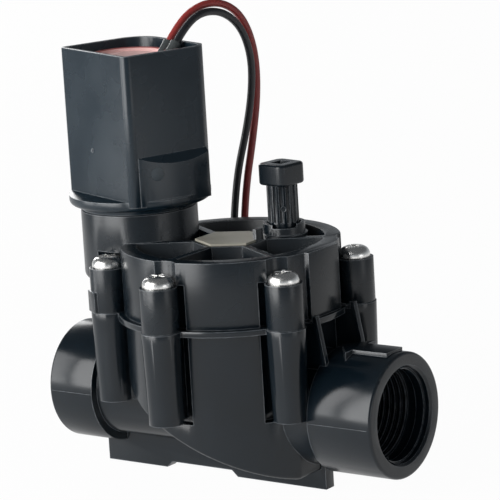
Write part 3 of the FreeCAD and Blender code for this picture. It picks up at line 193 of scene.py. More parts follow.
def edge_rub_and_highlight_group() -> bpy.types.NodeTree:
    """The paler line along moulded edges, as a mask: partly wear from handling, partly a painted highlight
    where light would catch the edge.
    """
    patches_per_metre, patchy_share, even_share = 420.0, 0.6, 0.4
    group = ShaderGroup("edge_rub_and_highlight", {"Width": 0.0005, "Amount": 1.0}, ("Rub",))
    eased = group.node("Bevel", samples=4)
    group.link(group.inputs["Width"], eased.inputs["Radius"])
    face = group.node("NewGeometry")
    turn = group.node("VectorMath", operation="DOT_PRODUCT")
    group.link(eased.outputs["Normal"], turn.inputs[0])
    group.link(face.outputs["Normal"], turn.inputs[1])
    # The edge's turn of normal marks where the painted highlight goes, as well as the wear.
    edge = group.remap(turn.outputs["Value"], low=0.995, high=0.86)
    patches = group.remap(group.noise(patches_per_metre, detail=3.0, roughness=0.6), low=0.3, high=0.6)
    # Patchy as wear is; the painted highlight rides on the same mask.
    wear = group.math("MULTIPLY_ADD", patches, patchy_share, even_share)
    rubbed_and_highlighted = group.math("MULTIPLY", edge, wear)
    group.link(group.math("MULTIPLY", rubbed_and_highlighted, group.inputs["Amount"]), group.outputs["Rub"])
    return group.tree


GROUPS = {
    "mould_grain": mould_grain_group(),
    "handling_marks": handling_group(),
    "edge_rub_and_highlight": edge_rub_and_highlight_group(),
}


# ---------------------------------------------------------------- finishes

class MaterialTree:
    """A new material's node tree with its Principled shader."""

    def __init__(self, name: str) -> None:
        """Make the material and find its shader."""
        self.material = bpy.data.materials.new(name)
        self.material.use_nodes = True
        self.nodes = self.material.node_tree.nodes
        self.links = self.material.node_tree.links
        self.shader = self.nodes["Principled BSDF"]

    def group(self, name: str, **values: float) -> bpy.types.Node:
        """Place a shared group.

        Args:
            name: the group's name in GROUPS.
            values: its inputs, with underscores for spaces.

        Returns:
            The group node.
        """
        made = self.nodes.new("ShaderNodeGroup")
        made.node_tree = GROUPS[name]
        for label, value in values.items():
            made.inputs[label.replace("_", " ")].default_value = value
        return made

    def mix(self, mask: bpy.types.NodeSocket, low: Colour | bpy.types.NodeSocket,
            high: Colour) -> bpy.types.NodeSocket:
        """Mix two colours and feed the base colour with them.

        Args:
            mask: 0 gives low and 1 gives high.
            low: the first colour, or a socket that gives it.
            high: the second colour.

        Returns:
            The mixed colour.
        """
        made = self.nodes.new("ShaderNodeMix")
        made.data_type = "RGBA"
        if isinstance(low, bpy.types.NodeSocket):
            self.links.new(low, made.inputs[6])
        else:
            made.inputs[6].default_value = (*low, 1.0)
        made.inputs[7].default_value = (*high, 1.0)
        self.links.new(mask, made.inputs[0])
        self.links.new(made.outputs[2], self.shader.inputs["Base Color"])
        return made.outputs[2]

    def spread(self, mask: bpy.types.NodeSocket, low: float, high: float, target: str) -> None:
        """Feed a number input with a mask stretched between two values."""
        made = self.nodes.new("ShaderNodeMapRange")
        made.inputs["To Min"].default_value = low
        made.inputs["To Max"].default_value = high
        self.links.new(mask, made.inputs["Value"])
        self.links.new(made.outputs["Result"], self.shader.inputs[target])

    def bump(self, height: bpy.types.NodeSocket, distance: float, strength: float) -> None:
        """Feed the shader's normal with a bump, its distance in millimetres for a height of 1."""
        made = self.nodes.new("ShaderNodeBump")
        made.inputs["Distance"].default_value = distance * MM
        made.inputs["Strength"].default_value = strength
        self.links.new(height, made.inputs["Height"])
        self.links.new(made.outputs["Normal"], self.shader.inputs["Normal"])


@dataclass(frozen=True)
class MouldedPlastic:
    """Injection-moulded plastic with grain, soft smudges and paler edges, partly worn by handling and partly
    a painted highlight.

    Attributes:
        colour: its base colour.
        smudge_colour: its base colour under a smudge.
        gloss: its roughness where it is clean and where it is smudged.
        grain_scale: the grain's features per metre.
        grain_depth: the grain's depth in millimetres.
        grain_strength: how strongly the grain turns the surface.
        sink: the depth of the cooling waves in millimetres.
        rub: how strongly its edges are rubbed; 0 leaves them clean.
        rub_and_highlight_colour: the colour of a rubbed edge.
    """

    colour: Colour
    smudge_colour: Colour
    gloss: tuple[float, float] = (0.36, 0.5)
    grain_scale: float = 2600.0
    grain_depth: float = 0.05
    grain_strength: float = 0.4
    sink: float = 0.0
    # rub: how strongly its edges are made paler, partly as wear and partly as a painted highlight; 0 leaves
    # them plain.
    rub: float = 0.0
    # rub_and_highlight_colour: the colour of a paler edge, wear and painted highlight together.
    rub_and_highlight_colour: Colour = (0.2, 0.215, 0.23)

    def make(self, name: str) -> bpy.types.Material:
        """Build the material.

        Args:
            name: the material's name.

        Returns:
            The material.
        """
        tree = MaterialTree(name)
        marks = tree.group("handling_marks")
        grain = tree.group("mould_grain", Scale=self.grain_scale, Depth=self.grain_depth, Sink=self.sink)
        surface = tree.mix(marks.outputs["Smudges"], self.colour, self.smudge_colour)
        # Edges made paler with wear and with a painted highlight.
        if self.rub:
            edges = tree.group("edge_rub_and_highlight", Amount=self.rub)
            tree.mix(edges.outputs["Rub"], surface, self.rub_and_highlight_colour)
        tree.spread(marks.outputs["Smudges"], *self.gloss, target="Roughness")
        tree.bump(grain.outputs["Height"], 1.0, self.grain_strength)
        return tree.material


@dataclass(frozen=True)
class TurnedMetal:
    """Drawn, rolled or turned metal with fine irregular brightness.

    Attributes:
        colour: its colour where it is bright.
        dull_colour: its colour where it is dull.
        gloss: its roughness where it is bright and where it is dull.
        grain_scale: the dull spots per metre.
        scuff_depth: the depth of its scuffs in millimetres.
        scuff_strength: how strongly the scuffs turn the surface.
    """

    colour: Colour
    dull_colour: Colour
    gloss: tuple[float, float] = (0.16, 0.34)
    grain_scale: float = 900.0
    scuff_depth: float = 0.01
    scuff_strength: float = 0.3

    def make(self, name: str) -> bpy.types.Material:
        """Build the material.

        Args:
            name: the material's name.

        Returns:
            The material.
        """
        tree = MaterialTree(name)
        marks = tree.group("handling_marks", Smudge_Scale=self.grain_scale)
        tree.mix(marks.outputs["Smudges"], self.colour, self.dull_colour)
        tree.spread(marks.outputs["Smudges"], *self.gloss, target="Roughness")
        tree.bump(marks.outputs["Scuffs"], self.scuff_depth, self.scuff_strength)
        tree.shader.inputs["Metallic"].default_value = 1.0
        return tree.material


@dataclass(frozen=True)
class SoftRubber:
    """Matt rubber with a dusty bloom.

    Attributes:
        colour: its base colour.
        bloom: its colour under the bloom.
        gloss: its roughness where it is clean and under the bloom.
        bloom_scale: the bloom's patches per metre.
        grain_scale: the grain's features per metre.
        grain_depth: the grain's depth in millimetres.
        grain_strength: how strongly the grain turns the surface.
    """

    colour: Colour
    bloom: Colour
    gloss: tuple[float, float] = (0.6, 0.85)
    bloom_scale: float = 180.0
    grain_scale: float = 1800.0
    grain_depth: float = 0.03
    grain_strength: float = 0.5

    def make(self, name: str) -> bpy.types.Material:
        """Build the material.

        Args:
            name: the material's name.

        Returns:
            The material.
        """
        tree = MaterialTree(name)
        marks = tree.group("handling_marks", Smudge_Scale=self.bloom_scale)
        grain = tree.group("mould_grain", Scale=self.grain_scale, Depth=self.grain_depth)
        tree.mix(marks.outputs["Smudges"], self.colour, self.bloom)
        tree.spread(marks.outputs["Smudges"], *self.gloss, target="Roughness")
        tree.bump(grain.outputs["Height"], 1.0, self.grain_strength)
        return tree.material


BLACK = (0.0035, 0.0075, 0.0115)
BLACK_SMUDGE = (0.0055, 0.0105, 0.0155)

# Paler edges in these finishes are wear plus a painted highlight.
FINISHES = {
    "body_plastic": MouldedPlastic(BLACK, BLACK_SMUDGE, gloss=(0.15, 0.25), grain_depth=0.006,
                                   sink=0.35, rub=1.0),
    "bonnet_plastic": MouldedPlastic(BLACK, BLACK_SMUDGE, gloss=(0.22, 0.32), grain_depth=0.02,
                                     grain_scale=2400.0, grain_strength=0.5, rub=1.0),
    "case_plastic": MouldedPlastic((0.007, 0.0155, 0.0235), (0.01, 0.0205, 0.03), gloss=(0.22, 0.32),
                                   grain_depth=0.015, rub=1.0),
    "case_polished": MouldedPlastic((0.04, 0.055, 0.066), (0.055, 0.07, 0.08), gloss=(0.3, 0.45)),
    "bleed_plastic": MouldedPlastic(BLACK, BLACK_SMUDGE, gloss=(0.2, 0.32), grain_depth=0.006, rub=0.8),
    "cap_rim": MouldedPlastic((0.3, 0.04, 0.035), (0.36, 0.06, 0.055), gloss=(0.25, 0.4),
                              grain_depth=0.01),
    "tan_plate": MouldedPlastic((0.42, 0.4, 0.33), (0.33, 0.31, 0.26), gloss=(0.4, 0.55)),
    "white_plastic": MouldedPlastic((0.72, 0.72, 0.69), (0.66, 0.66, 0.62), gloss=(0.3, 0.45)),
    "resin": MouldedPlastic((0.03, 0.032, 0.035), (0.05, 0.05, 0.052), gloss=(0.18, 0.35)),
    "pink_cap": MouldedPlastic((0.9, 0.56, 0.53), (0.95, 0.66, 0.63), gloss=(0.2, 0.32),
                               grain_depth=0.01),
    "sleeve": MouldedPlastic((0.03, 0.036, 0.04), (0.09, 0.1, 0.1), gloss=(0.15, 0.3)),
    "red_wire": MouldedPlastic((0.31, 0.035, 0.032), (0.36, 0.055, 0.05), gloss=(0.28, 0.4)),
    "black_wire": MouldedPlastic((0.014, 0.015, 0.018), (0.022, 0.023, 0.026), gloss=(0.25, 0.38)),
    "screw_steel": TurnedMetal((0.96, 0.95, 0.93), (0.88, 0.87, 0.84), gloss=(0.2, 0.34),
                               grain_scale=1500.0),
    "stainless": TurnedMetal((0.62, 0.62, 0.61), (0.5, 0.5, 0.49), gloss=(0.25, 0.4)),
    "copper": TurnedMetal((0.83, 0.42, 0.25), (0.66, 0.32, 0.18), gloss=(0.22, 0.4)),
    "black_rubber": SoftRubber((0.012, 0.012, 0.012), (0.03, 0.03, 0.03)),
}


class FinishShelf:
    """Makes each finish once and hands it to the pieces that wear it."""

    def __init__(self) -> None:
        """Start with no material made."""
        self.made: dict[str, bpy.types.Material] = {}

    def dress(self, piece: bpy.types.Object, finish: str) -> None:
        """Give a piece one finish all over.

        Args:
            piece: the object to dress.
            finish: a name in FINISHES.
        """
        if finish not in self.made:
            self.made[finish] = FINISHES[finish].make(finish)
        piece.data.materials.clear()
        piece.data.materials.append(self.made[finish])


shelf = FinishShelf()


# ---------------------------------------------------------------- bench tools

def only(piece: bpy.types.Object) -> None:
    """Select one object and nothing else, and make it active."""
    bpy.ops.object.select_all(action="DESELECT")
    piece.hide_set(False)
    piece.select_set(True)
    bpy.context.view_layer.objects.active = piece


def apply_modifier(piece: bpy.types.Object, kind: str, **settings: object) -> None:
    """Add a modifier to a piece, set it and apply it."""
    only(piece)
    modifier = piece.modifiers.new(kind.lower(), kind)
    for label, value in settings.items():
        setattr(modifier, label, value)
    bpy.ops.object.modifier_apply(modifier=modifier.name)


def settle(piece: bpy.types.Object) -> None:
    """Put a piece's place, turn and scale into its mesh."""
    only(piece)
    bpy.ops.object.transform_apply(location=True, rotation=True, scale=True)


def smooth(piece: bpy.types.Object, angle: float = 35.0) -> None:
    """Shade a piece smooth where its faces meet at less than an angle in degrees."""
    only(piece)
    bpy.ops.object.shade_smooth_by_angle(angle=math.radians(angle))


def node_copy(node: str, name: str) -> bpy.types.Object:
    """Copy a carried-over node's mesh into a piece of its own.

    Args:
        node: the node's name.
        name: the piece's name.

    Returns:
        The piece, which rides on nothing yet.
    """
    piece = bpy.data.objects.new(name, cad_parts[node].data.copy())
    bpy.context.scene.collection.objects.link(piece)
    return piece


def hand_over(piece: bpy.types.Object, finish: str, body: str) -> None:
    """Dress a finished piece and let it ride.

    Args:
        piece: the piece, in place.
        finish: a name in FINISHES.
        body: the body it rides on.
    """
    shelf.dress(piece, finish)
    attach(piece, body)
    log.info("%s: %d faces", piece.name, len(piece.data.polygons))


@dataclass
class EasedNode:
    """A carried-over node whose sharp edges are eased as a mould leaves them.

    Attributes:
        node: the node's name.
        body: the body it rides on.
        finish: its finish.
        slot: its material slot in the record; not used.
        width: the size of the eased edge in millimetres.
        weld: how near two points join, in millimetres.
        flat: the angle in degrees below which two facets become one face.
        sharp: the angle in degrees above which an edge is eased.
    """

    node: str
    body: str
    finish: str
    slot: str
    width: float = 0.25
    weld: float = 0.002
    flat: float = 0.4
    sharp: float = 32.0

    def build(self) -> None:
        """Copy the node's mesh, join its facets and ease its edges."""
        piece = node_copy(self.node, f"{self.node}_eased")
        only(piece)
        bpy.ops.object.mode_set(mode="EDIT")
        bpy.ops.mesh.select_all(action="SELECT")
        bpy.ops.mesh.remove_doubles(threshold=self.weld * MM)
        bpy.ops.mesh.dissolve_limited(angle_limit=math.radians(self.flat))
        bpy.ops.mesh.customdata_custom_splitnormals_clear()
        bpy.ops.object.mode_set(mode="OBJECT")
        apply_modifier(piece, "BEVEL", width=self.width * MM, segments=2, limit_method="ANGLE",
                       angle_limit=math.radians(self.sharp), use_clamp_overlap=True, harden_normals=False)
        smooth(piece)
        hand_over(piece, self.finish, self.body)
        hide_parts(self.node)


@dataclass
class FlexingNode:
    """A carried-over node between two bodies whose joint moves; its copy does not stretch.

    Attributes:
        node: the node's name.
        moving: the body that one end of it would follow; not used.
        still: the body that its other end would follow; not used.
        finish: its finish, which is also its material slot in the record.
    """

    node: str
    moving: str
    still: str
    finish: str

    def stretch(self, piece: bpy.types.Object, start: Point, end: Point) -> None:
        """Dress a piece, put its place into its mesh and hide the node; it does not stretch.

        Args:
            piece: a final mesh with no parent.
            start: where it would stop following the moving body, in millimetres; not used.
            end: where it would start following the still body, in millimetres; not used.
        """
        shelf.dress(piece, self.finish)
        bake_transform(piece)
        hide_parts(self.node)
        log.info("%s: %d faces", piece.name, len(piece.data.polygons))


@dataclass
class CoilSpring(FlexingNode):
    """A spring between the moving body and the still one; its end coils are found, but it does not move with
    them.

    Attributes:
        wire: the thickness of its wire in millimetres.
    """

    wire: float = 1.0

    def build(self) -> None:
        """Copy the spring and find its end coils; it is not stretched."""
        low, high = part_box(self.node)
        piece = node_copy(self.node, f"{self.node}_live")
        self.stretch(piece, (0.0, 0.0, low.z / MM + self.wire), (0.0, 0.0, high.z / MM - self.wire))


@dataclass
class RubberSheet(FlexingNode):
    """The diaphragm cut into wedges about the fold; they are not stretched.

    Attributes:
        fold_start: the radius at which the fold starts, in millimetres.
        fold_end: the radius at which the fold ends, in millimetres.
        wedges: how many wedges there are.
    """

    fold_start: float = 19.3
    fold_end: float = 24.3
    wedges: int = 8

    def build(self) -> None:
        """Cut out each wedge and find its own middle; it is not stretched."""
        half = math.pi / self.wedges
        reach = self.fold_end * math.cos(half)
        for number in range(self.wedges):
            middle = 2 * half * number
            along, across = math.cos(middle), math.sin(middle)
            piece = node_copy(self.node, f"{self.node}_wedge_{number + 1}")
            only(piece)
            bpy.ops.object.mode_set(mode="EDIT")
            for edge, side in ((middle - half, 1), (middle + half, -1)):
                normal = (-math.sin(edge) * side, math.cos(edge) * side, 0.0)
                bpy.ops.mesh.select_all(action="SELECT")
                bpy.ops.mesh.bisect(plane_co=(0.0, 0.0, 0.0), plane_no=normal, use_fill=True,
                                    clear_inner=True)
            bpy.ops.object.mode_set(mode="OBJECT")
            self.stretch(piece, (self.fold_start * along, self.fold_start * across, 0.0),
                         (reach * along, reach * across, 0.0))


# ---------------------------------------------------------------- moulded detail

RING_SMOOTHING = 28.0  # degrees
PIPE_HEIGHT = 23.7  # millimetres over the floor
SOLENOID_TURN = -19.5  # degrees about the upright axis
FACING = 0.9  # a face whose normal has more than this along an axis faces along it


@dataclass(frozen=True)
class RingProfile:
    """A four-sided profile that is turned, or wound, about an axis.

    Attributes:
        outer: its largest radius in millimetres.
        inner: its smallest radius in millimetres.
        width: how wide it is at its outer radius, in millimetres.
        taper: its width at the inner radius, as a share of that.
    """

    outer: float
    inner: float
    width: float
    taper: float

    def wind(self, name: str, turns: int, pitch: float, steps: int = 72) -> bpy.types.Object:
        """Turn the profile about the upright axis, or wind it upwards.

        Args:
            name: the piece's name.
            turns: how many turns it makes.
            pitch: how far one turn rises, in millimetres; 0 closes a ring.
            steps: how many faces one turn has.

        Returns:
            The ring or ridge, about the origin.
        """
        bpy.ops.object.select_all(action="DESELECT")
        middle = (self.outer + self.inner) / 2
        bpy.ops.mesh.primitive_plane_add(size=1.0, location=metres((middle, 0.0, 0.0)),
                                         rotation=(math.pi / 2, 0.0, 0.0))
        piece = bpy.context.object
        piece.name = name
        piece.scale = ((self.outer - self.inner) * MM, self.width * MM, 1.0)
        settle(piece)
        for vertex in piece.data.vertices:
            vertex.select = vertex.co.x < middle * MM
        bpy.ops.object.mode_set(mode="EDIT")
        bpy.ops.mesh.select_mode(type="VERT")
        bpy.ops.transform.resize(value=(1.0, 1.0, self.taper),
                                 center_override=metres((self.inner, 0.0, 0.0)))
        bpy.ops.mesh.select_all(action="SELECT")
        bpy.ops.mesh.delete(type="ONLY_FACE")
        bpy.ops.object.mode_set(mode="OBJECT")
        apply_modifier(piece, "SCREW", axis="Z", angle=math.tau, iterations=turns, screw_offset=pitch * MM,
                       steps=steps, render_steps=steps, use_merge_vertices=pitch == 0.0,
                       merge_threshold=0.001 * MM)
        bpy.ops.object.mode_set(mode="EDIT")
        bpy.ops.mesh.select_all(action="SELECT")
        if pitch:
            bpy.ops.mesh.fill_holes(sides=4)
        bpy.ops.mesh.normals_make_consistent(inside=False)
        bpy.ops.object.mode_set(mode="OBJECT")
        return piece


class PortSide(Enum):
    """Which end of the valve a port is on."""

    INLET = 1
    OUTLET = -1


@dataclass
class PortThread:
    """The moulded pipe thread inside a port and the plain land before it.

    Attributes:
        side: which port it is in.
        mouth: how far the port's face is from the valve's middle, in millimetres.
        height: how high the port's axis is, in millimetres.
        land_depth: how far the land's middle is behind the face, in millimetres.
        thread_depth: how far the thread's inner end is behind the face, in millimetres.
        pitch: the thread's pitch in millimetres.
        turns: how many turns it has.
        land: the land's profile.
        ridge: the thread's profile.
    """

    side: PortSide
    mouth: float = 55.5
    height: float = PIPE_HEIGHT
    land_depth: float = 3.4
    thread_depth: float = 17.2
    pitch: float = 1.814
    turns: int = 6
    land: RingProfile = RingProfile(outer=13.36, inner=12.7, width=3.0, taper=0.88)
    ridge: RingProfile = RingProfile(outer=13.36, inner=12.3, width=1.5, taper=0.2)

    def seat(self, piece: bpy.types.Object, depth: float) -> None:
        """Lay a ring on the port's axis at a depth behind its face, and dress it.

        Args:
            piece: the ring, upright about the origin.
            depth: how far behind the face it goes, in millimetres.
        """
        piece.rotation_euler = (0.0, self.side.value * math.pi / 2, 0.0)
        piece.location = metres((self.side.value * (self.mouth - depth), 0.0, self.height))
        settle(piece)
        smooth(piece, RING_SMOOTHING)
        hand_over(piece, "body_plastic", "base")

    def build(self) -> None:
        """Wind the thread and turn the land."""
        name = self.side.name.lower()
        self.seat(self.ridge.wind(f"{name}_thread", self.turns, self.pitch), self.thread_depth)
        self.seat(self.land.wind(f"{name}_land", 1, 0.0), self.land_depth)


@dataclass
class CapRim:
    """The rim that is moulded round the coil cap's edge.

    Attributes:
        node: the cap's node.
        inset: how far its outer radius is inside the cap's, in millimetres.
        breadth: how far its inner radius is inside the cap's, in millimetres.
        width: how high it is, in millimetres.
        taper: its height at the inner radius, as a share of that.
    """

    node: str = "coil_cap"
    inset: float = 0.02
    breadth: float = 1.0
    width: float = 0.5
    taper: float = 0.7

    def build(self) -> None:
        """Turn the rim and lay it on the cap's top edge."""
        low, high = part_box(self.node)
        radius = (high.x - low.x) / 2 / MM
        profile = RingProfile(radius - self.inset, radius - self.breadth, self.width, self.taper)
        rim = profile.wind("cap_rim", 1, 0.0)
        rim.location = ((low.x + high.x) / 2, (low.y + high.y) / 2, high.z)
        settle(rim)
        smooth(rim, RING_SMOOTHING)
        hand_over(rim, "cap_rim", "solenoid")


@dataclass
class MouldMark:
    """A small round pad that the mould leaves on a face.

    Attributes:
        name: the piece's name.
        centre: where it lies, in millimetres.
        facing: the way that it faces, in degrees about the upright axis.
        radius: its radius in millimetres.
        body: the body it rides on.
        finish: its finish.
        slot: its slot in the record; not used.
        proud: how far it stands out, in millimetres.
        inset: the width of its edge, as a share of its radius.
        dish: how deep its middle is sunk, as a share of proud.
        ease: the width of its eased edges, as a share of proud.
        smoothing: the angle in degrees below which its faces shade as one.
    """

    name: str
    centre: Point
    facing: float
    radius: float
    body: str
    finish: str
    slot: str
    proud: float
    inset: float = 0.14
    dish: float = 0.4
    ease: float = 0.3
    smoothing: float = 40.0

    def build(self) -> None:
        """Make the pad from a short cylinder with an inset, eased face."""
        bpy.ops.object.select_all(action="DESELECT")
        bpy.ops.mesh.primitive_cylinder_add(vertices=40, radius=self.radius * MM, depth=2 * self.proud * MM)
        piece = bpy.context.object
        piece.name = self.name
        for face in piece.data.polygons:
            face.select = face.normal.z > FACING
        bpy.ops.object.mode_set(mode="EDIT")
        bpy.ops.mesh.select_mode(type="FACE")
        bpy.ops.mesh.inset(thickness=self.radius * self.inset * MM)
        bpy.ops.transform.translate(value=(0.0, 0.0, -self.dish * self.proud * MM))
        bpy.ops.object.mode_set(mode="OBJECT")
        apply_modifier(piece, "BEVEL", width=self.ease * self.proud * MM, segments=2, limit_method="ANGLE")
        piece.rotation_euler = (0.0, math.pi / 2, math.radians(self.facing))
        piece.location = metres(self.centre)
        settle(piece)
        smooth(piece, self.smoothing)
        hand_over(piece, self.finish, self.body)


@dataclass
class PartingLine:
    """The fine raised line that the mould's joint leaves along a barrel.

    Attributes:
        name: the piece's name.
        start: where along the pipe it starts, in millimetres.
        end: where it ends.
        radius: the barrel's radius in millimetres.
        side: 1 on the lead side, -1 on the other.
        height: how high the pipe's axis is, in millimetres.
        proud: how far it stands out of the barrel, in millimetres.
        depth: how thick it is, sunk part included, in millimetres.
        width: how wide its foot is, in millimetres.
        crest: the width of its crest, as a share of its foot's.
        crest_run: the length of its crest, as a share of its foot's.
        ease: the width of its eased edges in millimetres.
        smoothing: the angle in degrees below which its faces shade as one.
    """

    name: str
    start: float
    end: float
    radius: float
    side: int
    height: float = PIPE_HEIGHT
    proud: float = 0.09
    depth: float = 0.6
    width: float = 0.3
    crest: float = 0.4
    crest_run: float = 0.995
    ease: float = 0.03
    smoothing: float = 50.0

    def build(self) -> None:
        """Stretch a flat wedge along the barrel's mid-height."""
        bpy.ops.object.select_all(action="DESELECT")
        bpy.ops.mesh.primitive_cube_add(size=1.0)
        piece = bpy.context.object
        piece.name = self.name
        piece.scale = ((self.end - self.start) * MM, self.depth * MM, self.width * MM)
        middle = (self.start + self.end) / 2
        piece.location = metres((middle, self.side * (self.radius - self.depth / 2 + self.proud),
                                 self.height))
        settle(piece)
        for face in piece.data.polygons:
            face.select = face.normal.y * self.side > FACING
        bpy.ops.object.mode_set(mode="EDIT")
        bpy.ops.mesh.select_mode(type="FACE")
        rim = metres((middle, self.side * self.radius, self.height))
        bpy.ops.transform.resize(value=(self.crest_run, 1.0, self.crest), center_override=rim)
        bpy.ops.object.mode_set(mode="OBJECT")
        apply_modifier(piece, "BEVEL", width=self.ease * MM, segments=2, limit_method="ANGLE")
        smooth(piece, self.smoothing)
        hand_over(piece, "body_plastic", "base")


# ---------------------------------------------------------------- leads

@dataclass
class Lead:
    """One lead wire: free from its sleeve to the floor, then coiled, with a bared end.

    Attributes:
        name: the piece's name.
        finish: the insulation's finish.
        route: the points of the free stretch, in millimetres.
        coil_radius: the radius of the coil's centreline, in millimetres.
        nodes: the carried-over nodes that it stands for.

    Both leads share the class's own numbers: LENGTH and DIAMETER in metres, the other sizes in millimetres,
    STRAND_TWIST in turns. A spline runs inside its control points. ROUTE_SHARE is its length on the free
    stretch as a share of theirs, and COIL_SHARE is how far out they lie on the coil, as a share of its
    radius.
    """

    name: str
    finish: str
    route: list[Point]
    coil_radius: float
    nodes: tuple[str, str]

    LENGTH = 0.400
    DIAMETER = 0.0022
    COIL_CENTRE = (-37.5, 58.0)
    POINTS_PER_TURN = 16
    ROUTE_SHARE = 0.985
    COIL_SHARE = 1.01
    TIP_LENGTH = 7.0
    TIP_TUCK = 0.3
    STRANDS = 7
    STRAND_RADIUS = 0.17
    STRAND_LAY = 0.34
    STRAND_STEPS = 12
    STRAND_TWIST = 0.9

    def coil_points(self) -> list[Point]:
        """The coil's turns: a helix from the route's end down to the floor.

        Returns:
            The points that follow the route's own.
        """
        start = self.route[-1]
        low = self.DIAMETER / 2 / MM
        free = sum(math.dist(a, b) for a, b in zip(self.route, self.route[1:]))
        turns = (self.LENGTH / MM - free * self.ROUTE_SHARE) / (2 * math.pi * self.coil_radius)
        count = round(turns * self.POINTS_PER_TURN)
        radius = self.coil_radius * self.COIL_SHARE
        points = []
        for number in range(1, count + 1):
            angle = 2 * math.pi * turns * number / count
            points.append((
                self.COIL_CENTRE[0] + radius * math.cos(angle),
                self.COIL_CENTRE[1] + radius * math.sin(angle),
                start[2] + (low - start[2]) * number / count,
            ))
        return points

    def build(self) -> None:
        points = self.route + self.coil_points()
        curve = bpy.data.curves.new(self.name, "CURVE")
        curve.dimensions = "3D"
        curve.bevel_depth = self.DIAMETER / 2
        curve.bevel_resolution = 5
        curve.use_fill_caps = True
        curve.resolution_u = 10
        spline = curve.splines.new("NURBS")
        spline.points.add(len(points) - 1)
        for control, point in zip(spline.points, points):
            control.co = (*metres(point), 1.0)
        spline.order_u = 3
        spline.use_endpoint_u = True
        wire = bpy.data.objects.new(self.name, curve)
        bpy.context.scene.collection.objects.link(wire)
        shelf.dress(wire, self.finish)
        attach(wire, "solenoid")
        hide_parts(*self.nodes)
        tip = self.bared_end(metres(points[-1]), metres(points[-1]) - metres(points[-2]))
        log.info("%s: %d points", self.name, len(points))

    def bared_end(self, start: Vector, heading: Vector) -> bpy.types.Object:
        """The twisted copper strands at the wire's end.

        Args:
            start: where the insulation stops.
            heading: the way the wire points there.

        Returns:
            The strands as one mesh.
        """
        facing = heading.normalized().to_track_quat("Z", "Y").to_matrix().to_4x4()
        strands = [self.strand(number) for number in range(self.STRANDS)]
        bpy.ops.object.select_all(action="DESELECT")
        for strand in strands:
            strand.select_set(True)
        bpy.context.view_layer.objects.active = strands[0]
        bpy.ops.object.convert(target="MESH")
        bpy.ops.object.join()
        tip = bpy.context.object
        tip.name = f"{self.name}_tip"
        tip.data.transform(Matrix.Translation(start) @ facing)
        hand_over(tip, "copper", "solenoid")
        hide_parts("lead_tips")
        return tip

    def strand(self, number: int) -> bpy.types.Object:
        """One strand: the first is straight and the others wind round it.

        Args:
            number: which strand it is, from 0.

        Returns:
            The strand as a curve, upright at the origin.
        """
        curve = bpy.data.curves.new("strand", "CURVE")
        curve.dimensions = "3D"
        curve.bevel_depth = self.STRAND_RADIUS * MM
        curve.bevel_resolution = 1
        curve.use_fill_caps = True
        spline = curve.splines.new("POLY")
        steps = self.STRAND_STEPS
        spline.points.add(steps)
        radius = 0.0 if number == 0 else self.STRAND_LAY
        for step in range(steps + 1):
            angle = 2 * math.pi * (number / (self.STRANDS - 1) + step / steps * self.STRAND_TWIST)
            place = Vector((radius * math.cos(angle), radius * math.sin(angle),
                            self.TIP_LENGTH * step / steps - self.TIP_TUCK)) * MM
            spline.points[step].co = (*place, 1.0)
        strand = bpy.data.objects.new("strand", curve)
        bpy.context.scene.collection.objects.link(strand)
        return strand


RED_ROUTE = [
    (-25.2, 10.6, 122.0), (-24.2, 15.2, 127.6), (-21.6, 22.0, 131.4), (-18.8, 29.4, 130.9),
    (-17.1, 36.0, 125.6), (-17.0, 40.6, 115.5), (-18.1, 42.2, 103.0), (-20.3, 41.6, 89.0),
    (-22.9, 40.4, 75.0), (-24.4, 39.8, 60.0), (-25.0, 39.8, 45.0), (-24.8, 40.1, 31.5),
    (-24.6, 41.2, 21.5), (-24.4, 44.6, 13.2), (-24.3, 50.8, 8.8), (-24.3, 58.0, 8.0),
]
BLACK_ROUTE = [
    (-21.6, 9.1, 122.0), (-20.9, 13.8, 127.0), (-19.3, 20.6, 129.7), (-17.4, 27.9, 128.2),
    (-16.2, 34.0, 122.6), (-16.3, 37.8, 113.6), (-18.0, 39.2, 103.0), (-20.7, 39.0, 91.5),
    (-23.8, 38.0, 80.0), (-25.8, 37.6, 67.0), (-27.0, 37.7, 54.0), (-27.2, 37.9, 41.5),
    (-27.2, 38.4, 30.5), (-27.1, 40.2, 21.6), (-27.0, 44.2, 14.4), (-27.0, 50.6, 10.6),
    (-27.0, 58.0, 9.7),
]

LEADS = (
    Lead("red_wire", "red_wire", RED_ROUTE, coil_radius=13.2, nodes=("red_lead", "red_lead_coil")),
    Lead("black_wire", "black_wire", BLACK_ROUTE, coil_radius=10.5, nodes=("black_lead", "black_lead_coil")),
)


# ---------------------------------------------------------------- studio

@dataclass
class Softbox:
    """One rectangular lamp.

    Attributes:
        name: the lamp's name.
        place: where it hangs, in metres.
        size: its width and height, in metres.
        watts: its power.
        aim: the point that it faces, in metres.
    """

    name: str
    place: Point
    size: tuple[float, float]
    watts: float
    aim: Point = (0.0, 0.0, 0.06)

    def hang(self) -> None:
        """Hang the lamp."""
        data = bpy.data.lights.new(self.name, "AREA")
        data.shape = "RECTANGLE"
        data.size, data.size_y = self.size
        data.energy = self.watts
        lamp = bpy.data.objects.new(self.name, data)
        lamp.location = self.place
        lamp.rotation_euler = (Vector(self.place) - Vector(self.aim)).to_track_quat("Z", "Y").to_euler()
        bpy.context.scene.collection.objects.link(lamp)


